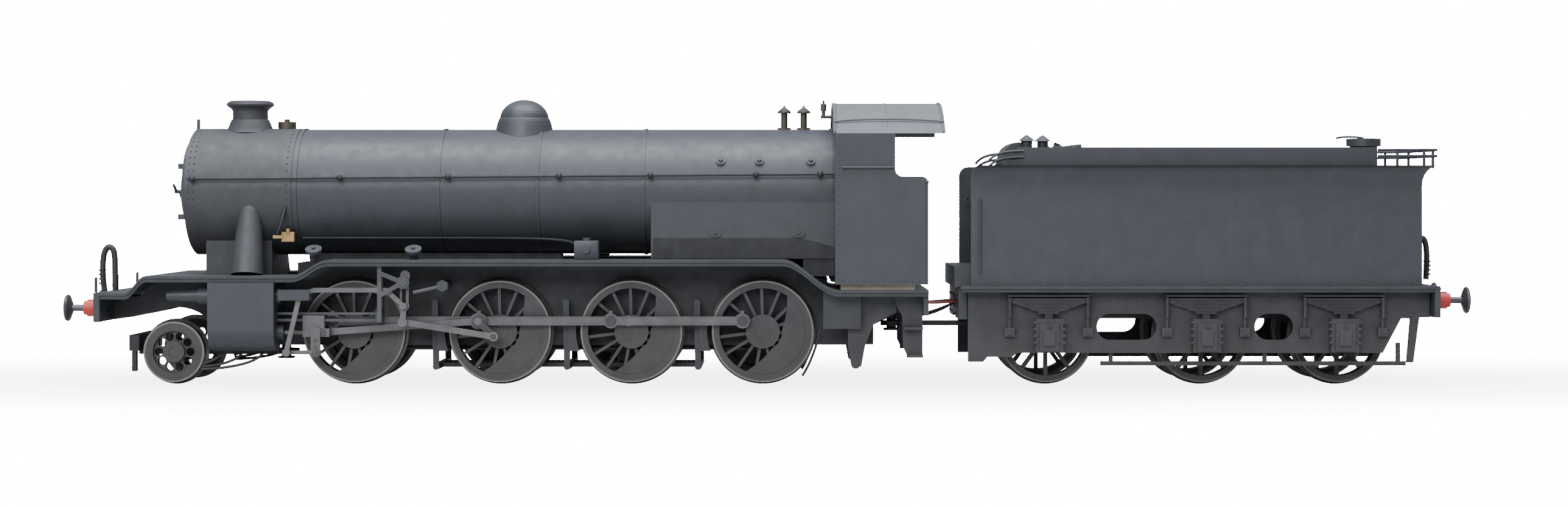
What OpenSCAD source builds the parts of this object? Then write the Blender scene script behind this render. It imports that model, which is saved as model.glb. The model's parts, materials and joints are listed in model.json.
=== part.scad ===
// Model 2-8-0 tender locomotive, 1:76 scale, for 16.5 mm gauge track.
// The engine faces -X, its left side is -Y, and Z = 0 is the surface that the
// wheel flanges stand on. The origin is midway between the two buffer faces.

/* [Wheelbase] */
// Front buffer beam face to the pony axle
beam_to_pony = 12.7; // [11.5:0.1:15]
// Pony axle to the first coupled axle
pony_to_first = 32.7; // [31.5:0.1:40]
// Clear gap between the flanges of the first and second coupled wheels
gap_12 = 7.1; // [6:0.1:10]
// Clear gap between the flanges of the later coupled wheels
gap_23 = 4.5; // [3.7:0.1:6.5]
// Last coupled axle to the front of the cab
last_to_cab = 13.0; // [11.8:0.1:17]
// Front of the tender footplate to its first axle
tender_front_to_axle = 15.9; // [15:0.1:20]
// First to second tender axle
tender_space_12 = 28.2; // [26:0.1:35]
// Second to third tender axle
tender_space_23 = 24.7; // [23:0.1:30]
// Third tender axle to the rear buffer beam face
tender_axle_to_beam = 16.8; // [15:0.1:21]

/* [Wheels] */
// Diameter of the coupled wheels on the tread
driver_d = 18.4; // [17.6:0.1:18.6]
// Diameter of the pony wheels on the tread
pony_d = 11.0; // [9:0.1:11.5]
// Diameter of the tender wheels on the tread
tender_wheel_d = 16.7; // [13.9:0.1:18.4]
// Depth of every flange
flange = 0.45; // [0.3:0.05:0.6]
// Distance between the backs of a pair of wheels
back_to_back = 14.4; // [14.4:0.1:14.8]
// Width of a wheel over its tyre
tyre_w = 2.8; // [2.4:0.1:3.2]
// Diameter of the coupled axles
axle_d = 3.0; // [2.4:0.1:3.2]
// Diameter of the pony and tender axles
small_axle_d = 2.0; // [1.6:0.1:2.4]
// Spokes in a coupled wheel
driver_spokes = 15; // [12:1:16]
// Spokes in a tender wheel, and openings in a pony wheel
small_spokes = 10; // [8:1:11]

/* [Motion] */
// Crank throw, axle centre to crankpin centre
throw = 4.15; // [3.4:0.05:4.6]
// Angle of the left crank at rest, anticlockwise from the rear
crank_angle = 151.6; // [0:0.1:360]
// Diameter of a crankpin
pin_d = 1.2; // [1:0.05:1.4]
// Length of a connecting rod between centres
con_rod = 28.0; // [27.2:0.1:30]
// Throw of the return crank pin round the axle
ret_throw = 1.05; // [0.8:0.05:1.3]
// Thickness of a coupling rod
coupling_t = 0.9; // [0.7:0.05:1.1]
// Thickness of a connecting rod
con_t = 0.9; // [0.7:0.05:1.1]
// Thickness of the light valve gear rods
gear_t = 0.6; // [0.5:0.05:0.7]
// Space between layers of the motion
layer = 0.2; // [0.15:0.05:0.25]
// Height of a coupling rod's bar
rod_h = 1.6; // [1.3:0.05:1.9]

/* [Body] */
// Diameter of the boiler cladding
boiler_d = 23.0; // [19.5:0.1:26]
// Boiler cladding's wall
boiler_wall = 1.1; // [0.9:0.05:1.4]
// Length of the smokebox
smokebox_len = 19.2; // [18:0.1:23]
// Width over the running plate
plate_w = 34.6; // [34:0.1:41]
// Thickness of the running plate
plate_t = 0.5; // [0.4:0.05:0.7]
// Length of the cab's side sheet
cab_len = 16.7; // [14:0.1:20]
// Top of the cab's side sheet above the rear running plate
cab_high = 28.0; // [25:0.1:33]
// Rise of the roof arch
roof_rise = 5.9; // [5:0.1:7]
// Thickness of the cab sheets
sheet = 0.8; // [0.6:0.05:1]
// Height of the tender tank above its footplate
tank_high = 21.6; // [18:0.1:25]
// Space between the engine's drag beam and the tender's front plate
tender_gap = 5.7; // [5.2:0.1:8]

/* [Buffers] */
// Height of the front buffer centres
buffer_high = 14.0; // [13.8:0.1:14.8]
// Buffer face to buffer beam
buffer_len = 6.3; // [6.2:0.1:8]
// Distance between buffer centres
buffer_space = 22.8; // [22:0.1:24]
// Travel of a buffer head
buffer_travel = 1.0; // [0.6:0.1:1.4]

/* [Drive] */
// Teeth of the gear on the third coupled axle
gear_teeth = 27; // [24:1:27]
// Module of the worm and its gear
gear_module = 0.5; // [0.45:0.01:0.5]
// Pitch radius of the worm
worm_r = 1.6; // [1.5:0.05:1.8]
// Length of the motor's can
motor_len = 18; // [15:0.5:19]

/* [Hidden] */
$fn = 48;
run_gap = 0.06;            // radial clearance of every turning fit
seat = 0.02;               // radial clearance of a pin pressed in its seat
tiny = 0.01;

// Wheel sizes
driver_r = driver_d / 2;
driver_z = driver_r + flange;
pony_z = pony_d / 2 + flange;
tender_z = tender_wheel_d / 2 + flange;
back_y = back_to_back / 2;
face_y = back_y + tyre_w;
axle_r = axle_d / 2;
small_axle_r = small_axle_d / 2;
pin_r = pin_d / 2;

// Places along the engine and tender, from the front buffer face
space_12 = 2 * driver_z + gap_12;
space_23 = 2 * driver_z + gap_23;
s_pony = buffer_len + beam_to_pony;
s_first = s_pony + pony_to_first;
s_main = s_first + space_12;
s_third = s_main + space_23;
s_last = s_third + space_23;
s_cab = s_last + last_to_cab;
s_drag = s_cab + cab_len;
s_tender = s_drag + tender_gap;
s_t1 = s_tender + tender_front_to_axle;
s_t2 = s_t1 + tender_space_12;
s_t3 = s_t2 + tender_space_23;
s_rear = s_t3 + tender_axle_to_beam;
overall = s_rear + buffer_len;
mid = overall / 2;

beam_x = buffer_len - mid;
pony_x = s_pony - mid;
first_x = s_first - mid;
main_x = s_main - mid;
third_x = s_third - mid;
last_x = s_last - mid;
cab_x = s_cab - mid;
drag_x = s_drag - mid;
tender_x = s_tender - mid;
t_axles = [s_t1 - mid, s_t2 - mid, s_t3 - mid];
rear_x = s_rear - mid;
drivers = [first_x, main_x, third_x, last_x];

// Heights
low_z = buffer_high + 2.9;           // running plate behind the front beam
mid_z = low_z + 3.05;                // running plate over the cylinders
plate_z = 2 * driver_z + 3.5;        // running plate over the wheels
rear_z = buffer_high + 3.4;          // running plate under the cab
tender_plate_z = buffer_high + 4.1;  // top of the tender's footplate
boiler_r = boiler_d / 2;
boiler_z = plate_z + boiler_r + 0.7;
beam_low = buffer_high - 2.3;
rear_buffer_z = buffer_high + 1.4;
plate_y = plate_w / 2;
cab_top_z = rear_z + cab_high;

// Cylinders stand midway between the pony wheel and the first coupled wheel
cyl_len = 11.8;
cyl_back = first_x - 13.2;
cyl_front = cyl_back - cyl_len;
cyl_y = face_y + 3.3;
cyl_r = 3.95;
cyl_out = cyl_y + cyl_r;
chest_z = driver_z + 6.6;
smoke_back = cyl_back + 2.0;
smoke_front = smoke_back - smokebox_len;
boiler_len = cab_x - smoke_back;

// Layers of the motion, outwards from the wheel face
coupling_y = face_y + 0.3;
con_y = coupling_y + coupling_t + layer;
ret_y = con_y + con_t + layer;
ecc_y = ret_y + gear_t + layer;
link_y = ecc_y + gear_t + layer;
rad_y = link_y + gear_t + layer;
lever_y = rad_y + gear_t + layer;
slide_in = con_y + con_t + layer;    // inner face of the crosshead
slide_w = 1.6;

// Crank angles: the right side is a quarter turn behind the left
function crank(s) = s < 0 ? crank_angle : crank_angle - 90;
function pin_x(s) = throw * cos(crank(s));
function pin_z(s) = throw * sin(crank(s));
function ret_angle(s) = crank(s) + 71.6;
function small_end_x(s) = main_x + pin_x(s)
    - sqrt(con_rod * con_rod - pin_z(s) * pin_z(s));
trunnion_x = main_x - 16.7;
trunnion_z = driver_z + 9.1;
die_z = driver_z + 4.85;
link_foot_z = driver_z + 1.9;
bar_end = trunnion_x - 4.6;
lever_x = cyl_back + 4.5;
lever_low = driver_z - 3.45;
union_len = main_x - throw - con_rod - cyl_back - 2.5;
rod_reach = main_x - throw - con_rod - cyl_back + 8.7;

// Drive train
pitch_r = gear_teeth * gear_module / 2;
worm_z = driver_z + pitch_r + worm_r;
worm_len = 6.4;
pitch = PI * gear_module;
motor_front = third_x + pitch_r + 1.6;
motor_r = 5.4;
motor_y = 4.6;
block_y = 6.1;
drawbar_z = 10.3;
drawbar_t = 0.85;
engine_pin_x = drag_x - 6;
tender_pin_x = tender_x + 6.5;
screw_r = 0.8;
pony_pivot_x = cyl_back - 1.0;

// Tender body
tank_x0 = tender_x + 1.9;
tank_x1 = rear_x - 2.9;
tank_y = 15.4;
flare = 1.9;
rear_flare = 2.7;
tank_z1 = tender_plate_z + tank_high;
rave_y = 13.2;
rave_x0 = tank_x0 + 8.7;
rave_x1 = tank_x1 - 7.6;
tender_frame_y = 13.2;
frame_t = 0.7;
axle_tip = tender_frame_y + frame_t + 0.9;

// ---- Helpers ----

// A side outline, X and Z, given thickness t outwards from y0 on side s
module slab(s, y0, t)
    translate([0, s < 0 ? -y0 : y0 + t, 0]) rotate([90, 0, 0]) linear_extrude(t) children();
// A round bar across the engine on side s
module peg(s, x, z, r, y0, t) slab(s, y0, t) translate([x, z]) circle(r);
// A box centred on Y
module bar(x0, x1, half_y, z0, z1)
    translate([x0, -half_y, z0]) cube([x1 - x0, 2 * half_y, z1 - z0]);
// A box on side s between two distances from the centre line
module side_bar(s, x0, x1, y0, y1, z0, z1)
    translate([x0, s < 0 ? -y1 : y0, z0]) cube([x1 - x0, y1 - y0, z1 - z0]);
module xcyl(x0, x1, y, z, r) translate([x0, y, z]) rotate([0, 90, 0]) cylinder(h = x1 - x0, r = r);
module zcyl(x, y, z0, z1, r) translate([x, y, z0]) cylinder(h = z1 - z0, r = r);
// A link outline between two points, with round ends
module link2d(x0, z0, x1, z1, r0, r1, w) {
    len = norm([x1 - x0, z1 - z0]);
    translate([x0, z0]) rotate(atan2(z1 - z0, x1 - x0)) {
        circle(r0);
        translate([len, 0]) circle(r1);
        translate([0, -w / 2]) square([len, w]);
    }
}
function ramp(x0, z0, x1, z1, n) =
    [for (i = [0:n]) let (t = i / n) [x0 + (x1 - x0) * t, z0 + (z1 - z0) * (3 - 2 * t) * t * t]];
function arc(x, z, r, a0, a1, n) =
    [for (i = [0:n]) let (a = a0 + (a1 - a0) * i / n) [x + r * cos(a), z + r * sin(a)]];
function turned(pts) = [for (i = [len(pts) - 1:-1:0]) pts[i]];

// ---- Wheels ----

// Tyre, rim and flange, from the inner rim radius outwards
module tyre(r, rim) rotate_extrude() polygon([[r - rim, 0], [r + flange - 0.12, 0],
    [r + flange, 0.2], [r + flange, 0.45], [r, 0.85], [r, tyre_w], [r - rim, tyre_w]]);
// A spoked wheel lying on its back, with its outer face up
module spoked(r, rim, hub, n, w, bore, hub_up) difference() {
    union() {
        tyre(r, rim);
        for (i = [0:n - 1]) rotate((i + 0.5) * 360 / n)
            translate([hub - 0.4, -w / 2, 0.9]) cube([r - rim - hub + 0.6, w, 1.3]);
        translate([0, 0, 0.5]) cylinder(h = tyre_w - 0.5 + hub_up, r = hub);
    }
    translate([0, 0, -1]) cylinder(h = tyre_w + 2, r = bore);
}
// Crescent balance weight opposite the crank
module weight(r, rim) translate([0, 0, 0.9]) linear_extrude(1.6) difference() {
    circle(r - rim + 0.2);
    translate([-1.25 * r, 0]) circle(1.58 * r);
    circle(0.38 * r);
}
// Puts a wheel on side s of axle x, with its pattern turned to angle a
module hang(s, x, z, a)
    translate([x, 0, z]) mirror([0, s > 0 ? 0 : 1, 0]) translate([0, back_y, 0])
    rotate([-90, 0, 0]) mirror([0, 1, 0]) rotate(a) children();
module driver_wheel(s, x) hang(s, x, driver_z, crank(s)) difference() {
    union() {
        spoked(driver_r, 1.35, 3.1, driver_spokes, 0.55, axle_r + seat, 0);
        rotate(180) weight(driver_r, 1.35);
        translate([throw, 0, 0.5]) cylinder(h = tyre_w - 0.5, r = 1.45);
    }
    translate([0, 0, -1]) cylinder(h = tyre_w + 2, r = axle_r + seat);
    translate([throw, 0, 1]) cylinder(h = tyre_w, r = pin_r + seat);
}
// One coupled axle with its wheels and crankpins; reach is how far the pins stand out
module wheelset(x, reach) {
    for (s = [-1, 1]) {
        driver_wheel(s, x);
        peg(s, x + pin_x(s), driver_z + pin_z(s), pin_r, back_y + 1.1, reach - back_y - 1.1);
        peg(s, x + pin_x(s), driver_z + pin_z(s), pin_r + 0.35, reach, 0.15);
    }
    translate([x, face_y, driver_z]) rotate([90, 0, 0]) cylinder(h = 2 * face_y, r = axle_r);
}
// A disc wheel with a ring of round openings
module disc_wheel(r, rim, hub, n, bore) difference() {
    union() {
        tyre(r, rim);
        translate([0, 0, 0.9]) cylinder(h = 1.2, r = r - rim + 0.2);
        translate([0, 0, 0.5]) cylinder(h = tyre_w - 0.5, r = hub);
    }
    for (i = [0:n - 1]) rotate(i * 360 / n) translate([(r - rim + hub) / 2, 0, 0])
        cylinder(h = tyre_w, r = (r - rim - hub) / 2 - 0.2);
    translate([0, 0, -1]) cylinder(h = tyre_w + 2, r = bore);
}
module small_axle(x, z, tip)
    translate([x, tip, z]) rotate([90, 0, 0]) cylinder(h = 2 * tip, r = small_axle_r);
module wheelset_1() color("#4a4743") wheelset(first_x, coupling_y + coupling_t + 0.05);
// The main wheelset also carries the return cranks on its long crankpins
module wheelset_2() color("#4a4743") {
    wheelset_main();
    for (s = [-1, 1]) return_crank(s);
}
module wheelset_main() {
    for (s = [-1, 1]) {
        driver_wheel(s, main_x);
        peg(s, main_x + pin_x(s), driver_z + pin_z(s), pin_r, back_y + 1.1, ret_y - back_y - 1.2);
    }
    translate([main_x, face_y, driver_z]) rotate([90, 0, 0])
        cylinder(h = 2 * face_y, r = axle_r);
}
module return_crank(s) {
    px = main_x + pin_x(s);
    pz = driver_z + pin_z(s);
    rx = main_x + ret_throw * cos(ret_angle(s));
    rz = driver_z + ret_throw * sin(ret_angle(s));
    slab(s, ret_y - 0.1 + seat, gear_t + 0.1 - seat) link2d(px, pz, rx, rz, 1.15, 0.8, 1.2);
    peg(s, px, pz, 0.85, ret_y + gear_t - tiny, layer / 2);
    peg(s, rx, rz, pin_r * 0.7, ret_y + gear_t, gear_t + layer + 0.05);
}
module wheelset_3() color("#4a4743") {
    wheelset(third_x, coupling_y + coupling_t + 0.05);
    translate([third_x, 0, driver_z]) rotate([90, 0, 0]) gear();
}
module wheelset_4() color("#4a4743") wheelset(last_x, coupling_y + coupling_t + 0.05);
module pony_wheelset() color("#4a4743") {
    for (s = [-1, 1]) hang(s, pony_x, pony_z, 0)
        disc_wheel(pony_d / 2, 1.7, 1.9, small_spokes, small_axle_r + seat);
    small_axle(pony_x, pony_z, face_y - 0.1);
}
module tender_wheelset(i) color("#3c3a38") {
    for (s = [-1, 1]) hang(s, t_axles[i], tender_z, 0)
        spoked(tender_wheel_d / 2, 1.2, 1.7, small_spokes, 0.7, small_axle_r + seat, 0);
    small_axle(t_axles[i], tender_z, axle_tip);
}

// ---- Drive train ----

// Straight toothed gear that meshes with the worm; a gap faces straight up
module gear() translate([0, 0, -0.8]) linear_extrude(1.6) difference() {
    union() {
        circle(pitch_r - 0.55);
        for (i = [0:gear_teeth - 1]) rotate(90 + (i + 0.5) * 360 / gear_teeth)
            polygon([[pitch_r - 0.9, -0.34], [pitch_r + 0.35, -0.17],
                [pitch_r + 0.35, 0.17], [pitch_r - 0.9, 0.34]]);
    }
    circle(axle_r + seat);
}
// Radius of the worm where its thread phase is u, from 0 to 1 along one pitch
function worm_rad(u) = let (d = abs(u - round(u)) * pitch)
    d < 0.16 ? worm_r + 0.35 : d < 0.40 ? worm_r + 0.35 - 0.9 * (d - 0.16) / 0.24
    : worm_r - 0.55;
module worm() {
    n = 72;
    m = 20;
    grid = [for (i = [0:n]) for (j = [0:m - 1])
        let (x = (i / n - 0.5) * worm_len, a = 270 + 360 * j / m,
             r = worm_rad(x / pitch - j / m))
        [x, r * cos(a), r * sin(a)]];
    walls = [for (i = [0:n - 1]) for (j = [0:m - 1])
        let (a = i * m + j, b = i * m + (j + 1) % m) each [[a, b + m, b], [a, a + m, b + m]]];
    ends = [[for (j = [0:m - 1]) j], [for (j = [m - 1:-1:0]) n * m + j]];
    polyhedron(points = grid, faces = concat(walls, ends));
}
// Motor shaft with the worm at its front and the flywheel at its back
module worm_shaft() color("#b59a4c") {
    translate([third_x, 0, worm_z]) worm();
    xcyl(third_x + worm_len / 2, motor_front + motor_len + 7.5, 0, worm_z, 0.75);
    xcyl(motor_front + motor_len + 1.5, motor_front + motor_len + 6.5, 0, worm_z, 4.9);
}
// Can motor with flat sides and end bosses
module motor() color("#8d9094") difference() {
    intersection() {
        union() {
            xcyl(motor_front, motor_front + motor_len, 0, worm_z, motor_r);
            xcyl(motor_front - 0.8, motor_front + motor_len + 0.8, 0, worm_z, 1.8);
        }
        bar(motor_front - 1, motor_front + motor_len + 1, motor_y, worm_z - 6, worm_z + 6);
    }
    xcyl(motor_front - 2, motor_front + motor_len + 2, 0, worm_z, 0.75 + run_gap);
}

// ---- Engine chassis ----

module chassis_block() color("#26272a") {
    top = worm_z + 1.2;
    difference() {
        union() {
            bar(cyl_front, cab_x - 1.2, block_y, driver_z - 2.6, top);
            bar(cab_x - 2, drag_x - 10, block_y, driver_z - 2.6, rear_z - plate_t - seat);
        }
        bar(motor_front - 1, motor_front + motor_len + 1, motor_y + seat,
            worm_z - motor_r - seat, top + 1);
        bar(motor_front + motor_len + 0.9, motor_front + motor_len + 8, 5.3, worm_z - 5.3,
            top + 1);
        bar(third_x - 4, motor_front, 2.6, worm_z - 2.6, top + 1);
        bar(third_x - pitch_r - 0.9, third_x + pitch_r + 0.9, 1.3, 0, worm_z);
        for (x = drivers) translate([x, 20, driver_z]) rotate([90, 0, 0])
            cylinder(h = 40, r = axle_r + run_gap);
    }
    zcyl(pony_pivot_x, 0, pony_z - 1.4, driver_z - 2.4, 0.9);
    zcyl(pony_pivot_x, 0, pony_z - 1.7, pony_z - 1.4 + tiny, 1.6);
    // Rear stretcher that holds the drawbar's pin
    bar(drag_x - 11, drag_x - 1.2, block_y, driver_z + 3.4, driver_z + 4.6);
    bar(drag_x - 11, drag_x - 9.5, block_y, driver_z - 2.6, driver_z + 4.6);
    zcyl(engine_pin_x, 0, drawbar_z - 0.5, driver_z + 3.5, 0.9);
    zcyl(engine_pin_x, 0, drawbar_z - 0.9, drawbar_z - 0.5 + tiny, 1.5);
}
// Underside cover that keeps the axles in, with the copper pickup strips on it
module keeper_plate() color("#2e2f31") {
    z1 = driver_z - 2.6 - seat;
    difference() {
        bar(first_x - 4, last_x + 5, 4.6, z1 - 1, z1);
        bar(third_x - pitch_r - 0.9, third_x + pitch_r + 0.9, 1.3, 0, z1 + 1);
    }
    for (s = [-1, 1]) side_bar(s, first_x - 2, last_x + 3, 4.6 + seat, 5.2, z1 - 1, z1 - 0.6);
}
module frame_plate(s) slab(s, block_y + seat, 0.6) difference() {
    z1 = rear_z - 1.3;
    polygon(concat(
        [[beam_x + 1.2, low_z - 1.1], [beam_x + 1.2, beam_low], [beam_x + 4.8, beam_low + 0.5]],
        arc(pony_x, pony_z, pony_z + 2.0, 115, 30, 8),
        [[cyl_front + 2, driver_z - 2.6], [last_x + 16, driver_z - 2.6],
         [last_x + 19, driver_z + 0.5], [drag_x - 3, rear_z - 3.6], [drag_x - 1.2, rear_z - 3.6],
         [drag_x - 1.2, z1]],
        turned(ramp(last_x + 4.2, plate_z - 1.4, cab_x + 0.3, z1, 10)),
        turned(ramp(cyl_back + 3.4, mid_z - 1.4, cyl_back + 9.6, plate_z - 1.4, 8)),
        turned(ramp(beam_x + 5, low_z - 1.1, beam_x + 9.2, mid_z - 1.4, 6))));
    for (x = drivers) translate([x, driver_z]) circle(axle_r + 0.4);
}
module frame_plates() color("#2a2b2f") {
    for (s = [-1, 1]) frame_plate(s);
}

// Running plate in side view: three levels joined by ramps, lowered by d
function plate_line(d) = concat(
    [[beam_x + 1.2, low_z - d]],
    ramp(beam_x + 5.6, low_z - d, beam_x + 9.3, mid_z - d, 8),
    ramp(cyl_back + 3.1, mid_z - d, cyl_back + 9.6, plate_z - d, 10),
    ramp(last_x + 3.6, plate_z - d, cab_x + 0.6, rear_z - d, 14),
    [[drag_x, rear_z - d]]);
module running_plate() color("#4b4d52") {
    difference() {
        slab(1, -plate_y, plate_w) polygon(concat(plate_line(0), turned(plate_line(plate_t))));
        bar(smoke_back - 4, cab_x - 1, 7.7, 0, plate_z + 1);
    }
    for (s = [-1, 1]) slab(s, plate_y - 0.7, 0.4)
        polygon(concat(plate_line(plate_t - 0.05), turned(plate_line(plate_t + 0.65))));
    // Drag beam under the back of the cab
    difference() {
        bar(drag_x - 0.9, drag_x, plate_y - 0.9, driver_z + 3.2, rear_z - plate_t + 0.05);
        bar(drag_x - 2, drag_x + 1, 3, driver_z - 1, driver_z + 5.6);
    }
}
module front_beam() color("#3f4144") {
    difference() {
        bar(beam_x, beam_x + 1.1, plate_y - 0.3, beam_low, low_z);
        for (y = [-1, 1] * buffer_space / 2)
            xcyl(beam_x - 1, beam_x + 3, y, buffer_high, 0.6 + run_gap);
    }
    // Screw coupling hook
    bar(beam_x - 1.6, beam_x + 0.1, 0.35, buffer_high - 0.5, buffer_high + 0.5);
    bar(beam_x - 2.0, beam_x - 1.5, 0.35, buffer_high - 0.5, buffer_high + 1.3);
}
module shanks(x, z, way) for (y = [-1, 1] * buffer_space / 2)
    translate([x, y, z]) rotate([0, 90 * way, 0]) difference() {
        union() {
            cylinder(h = 0.5, r = 1.75);
            cylinder(h = 2.4, r = 1.55);
            cylinder(h = buffer_len - 2.0 - buffer_travel - 0.3, r = 1.25);
        }
        translate([0, 0, -1]) cylinder(h = buffer_len, r = 0.6 + run_gap);
    }
module front_buffer_shanks() color("#b8403c") shanks(beam_x - seat, buffer_high, -1);
module buffer_head(x, z, way, s) color("#3a3b3d")
    translate([x, s * buffer_space / 2, z]) rotate([0, 90 * way, 0])
    translate([0, 0, -buffer_len]) {
        rotate_extrude() polygon([[0, buffer_len - 1.1], [0.9, buffer_len - 1.1],
            [2.3, buffer_len - 0.5], [2.45, buffer_len - 0.25], [2.3, buffer_len],
            [0, buffer_len]]);
        translate([0, 0, 0.4]) cylinder(h = buffer_len - 1.2, r = 0.6);
    }
module buffer_front_left() buffer_head(-mid, buffer_high, -1, -1);
module buffer_front_right() buffer_head(-mid, buffer_high, -1, 1);
module buffer_rear_left() buffer_head(mid, rear_buffer_z, 1, -1);
module buffer_rear_right() buffer_head(mid, rear_buffer_z, 1, 1);

// ---- Boiler and cab ----

module boiler() color("#55575c") {
    box_x0 = last_x - 20.2;
    difference() {
        union() {
            xcyl(smoke_back, cab_x, 0, boiler_z, boiler_r);
            bar(box_x0, cab_x, boiler_r - 0.15, plate_z + 0.1, boiler_z);
        }
        xcyl(smoke_back - 1, cab_x + 1, 0, boiler_z, boiler_r - boiler_wall);
        bar(box_x0 + 1, cab_x + 1, boiler_r - 0.15 - boiler_wall, 0, boiler_z);
    }
}
module smokebox() color("#5a5b5f") {
    r = boiler_r + 0.15;
    difference() {
        union() {
            xcyl(smoke_front, smoke_back - tiny, 0, boiler_z, r);
            // Saddle that carries the smokebox on the frames
            bar(smoke_front + 3, smoke_back - 4.2, 7.5, mid_z + seat, boiler_z - 8.5);
        }
        xcyl(smoke_front + 1.5, smoke_back + 1, 0, boiler_z, r - 1.3);
    }
}
// Dished door with its two hinge straps and the locking handles
module smokebox_door() color("#515256") {
    x0 = smoke_front - seat;
    dish = 2.9;
    door_r = 9.9;
    ball = (door_r * door_r + dish * dish) / (2 * dish);
    translate([x0, 0, boiler_z]) rotate([0, -90, 0]) {
        intersection() {
            translate([0, 0, dish - ball]) sphere(ball, $fn = 96);
            cylinder(h = dish + 1, r = door_r);
        }
        cylinder(h = 0.3, r = boiler_r - 0.3);
        cylinder(h = dish + 1.6, r = 0.35);
        translate([0, 0, dish + 0.5]) rotate([0, 0, 35]) translate([-0.2, 0, 0])
            cube([0.4, 2.6, 0.35]);
        translate([0, 0, dish + 1.1]) rotate([0, 0, -150]) translate([-0.2, 0, 0])
            cube([0.4, 2.6, 0.35]);
    }
    for (z = [-4.6, 4.6]) bar(x0 - 1.9, x0 - 0.2, 8.4, boiler_z + z - 0.5, boiler_z + z + 0.5);
}
module chimney() color("#5a5b5f") {
    x = cyl_front + 4.1;
    top = boiler_z + boiler_r + 5.3;
    difference() {
        translate([x, 0, 0]) rotate_extrude() polygon(concat(
            [[2.2, boiler_z + boiler_r - 0.7], [2.2, top]],
            [[3.5, top], [4.2, top - 0.35], [4.35, top - 0.75], [4.2, top - 1.0], [3.5, top - 1.5],
             [3.2, top - 1.95], [3.2, top - 3.4]],
            ramp(3.2, top - 3.4, 4.6, boiler_z + boiler_r - 0.6, 8)));
        xcyl(x - 8, x + 8, 0, boiler_z, boiler_r + 0.15 + seat);
    }
}
module dome() color("#5d5e62") {
    x = main_x + 3.4;
    top = boiler_z + boiler_r + 5.5;
    difference() {
        translate([x, 0, 0]) rotate_extrude() polygon(concat(
            [[0, boiler_z + boiler_r - 2.6]],
            [[6.0, boiler_z + boiler_r - 2.6]],
            turned(ramp(4.5, top - 3.4, 6.0, boiler_z + boiler_r - 2.1, 8)),
            [for (a = [8:8:88]) [4.5 * cos(a), top - 3.6 + 3.6 * sin(a)]], [[0, top]]));
        xcyl(x - 8, x + 8, 0, boiler_z, boiler_r + seat);
    }
}
// Two safety valves, the snifting valve behind the chimney, and the whistle
module safety_valves() color("#6a6458") {
    z = boiler_z + boiler_r;
    for (x = [cab_x - 9.1, cab_x - 5.5]) difference() {
        union() {
            zcyl(x, 0, z - 0.8, z + 0.3, 1.25);
            zcyl(x, 0, z, z + 3.1, 0.62);
            zcyl(x, 0, z + 3.0, z + 3.3, 1.25);
            translate([x, 0, z + 3.3]) cylinder(h = 0.8, r1 = 1.25, r2 = 0.25);
            zcyl(x, 0, z + 4.0, z + 4.4, 0.2);
        }
        xcyl(x - 3, x + 3, 0, boiler_z, boiler_r + seat);
    }
    x = smoke_back - 2.9;
    difference() {
        union() {
            zcyl(x, 0, z - 1, z + 1.4, 1.65);
            zcyl(x, 0, z + 1.3, z + 1.9, 0.5);
        }
        xcyl(x - 3, x + 3, 0, boiler_z, boiler_r + 0.15 + seat);
    }
    bar_z = z + 2.2;
    translate([0, -4, 0]) {
        xcyl(cab_x - 2.4, cab_x - seat, 0, bar_z, 0.3);
        zcyl(cab_x - 1.9, 0, bar_z - 0.2, bar_z + 1.2, 0.35);
        zcyl(cab_x - 1.9, 0, bar_z + 1.1, bar_z + 2.4, 0.55);
        zcyl(cab_x - 1.9, 0, bar_z + 2.3, bar_z + 3.0, 0.2);
    }
}
// Radius of the roof arch, and the roof outline in end view at drop d
cab_y = plate_y - 0.3;
roof_r = (cab_y * cab_y + roof_rise * roof_rise) / (2 * roof_rise);
module arch(r) intersection() {
    translate([0, cab_top_z + roof_rise - roof_r]) circle(r, $fn = 96);
    translate([-cab_y, rear_z]) square([2 * cab_y, cab_high + roof_rise + 2]);
}
module across_x(x0, x1) translate([x0, 0, 0]) rotate([90, 0, 90])
    linear_extrude(x1 - x0) children();
// Side sheet with the open upper back corner, and a front sheet with its spectacles
module cab() color("#54565b") {
    sill = rear_z + 20.3;
    post = cab_x + 10.7;
    for (s = [-1, 1]) slab(s, cab_y - sheet, sheet) difference() {
        polygon(concat([[cab_x, rear_z + 1], [drag_x - 0.1, rear_z + 1]],
            arc(drag_x - 1.3, sill - 1.2, 1.2, 0, 90, 6),
            arc(post + 1.35, sill + 1.35, 1.35, 270, 180, 6),
            [[post, cab_top_z], [cab_x, cab_top_z]]));
    }
    difference() {
        intersection() {
            across_x(cab_x, cab_x + sheet) arch(roof_r - 0.7);
            bar(cab_x, cab_x + sheet, cab_y - sheet + 0.1, rear_z + 1, cab_top_z + 7);
        }
        xcyl(cab_x - 1, cab_x + 3, 0, boiler_z, boiler_r - boiler_wall);
        bar(cab_x - 1, cab_x + 3, boiler_r - 2.2, 0, boiler_z - 4);
        for (s = [-1, 1]) side_bar(s, cab_x - 1, cab_x + 3, boiler_r + 1.2, cab_y - 2.2,
            boiler_z + 2.8, boiler_z + 7.6);
    }
}
module cab_roof() color("#77797e") {
    x1 = drag_x + 3.0;
    difference() {
        across_x(cab_x - 0.3, x1) difference() {
            arch(roof_r);
            arch(roof_r - 0.6);
            translate([-30, rear_z - 1]) square([60, cab_top_z - rear_z + 1 + seat]);
        }
    }
}
module cab_floor() color("#cfc3b0") bar(cab_x + 1, drag_x - 2.4, cab_y - 1.6, rear_z + seat,
    rear_z + 0.9);
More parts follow.
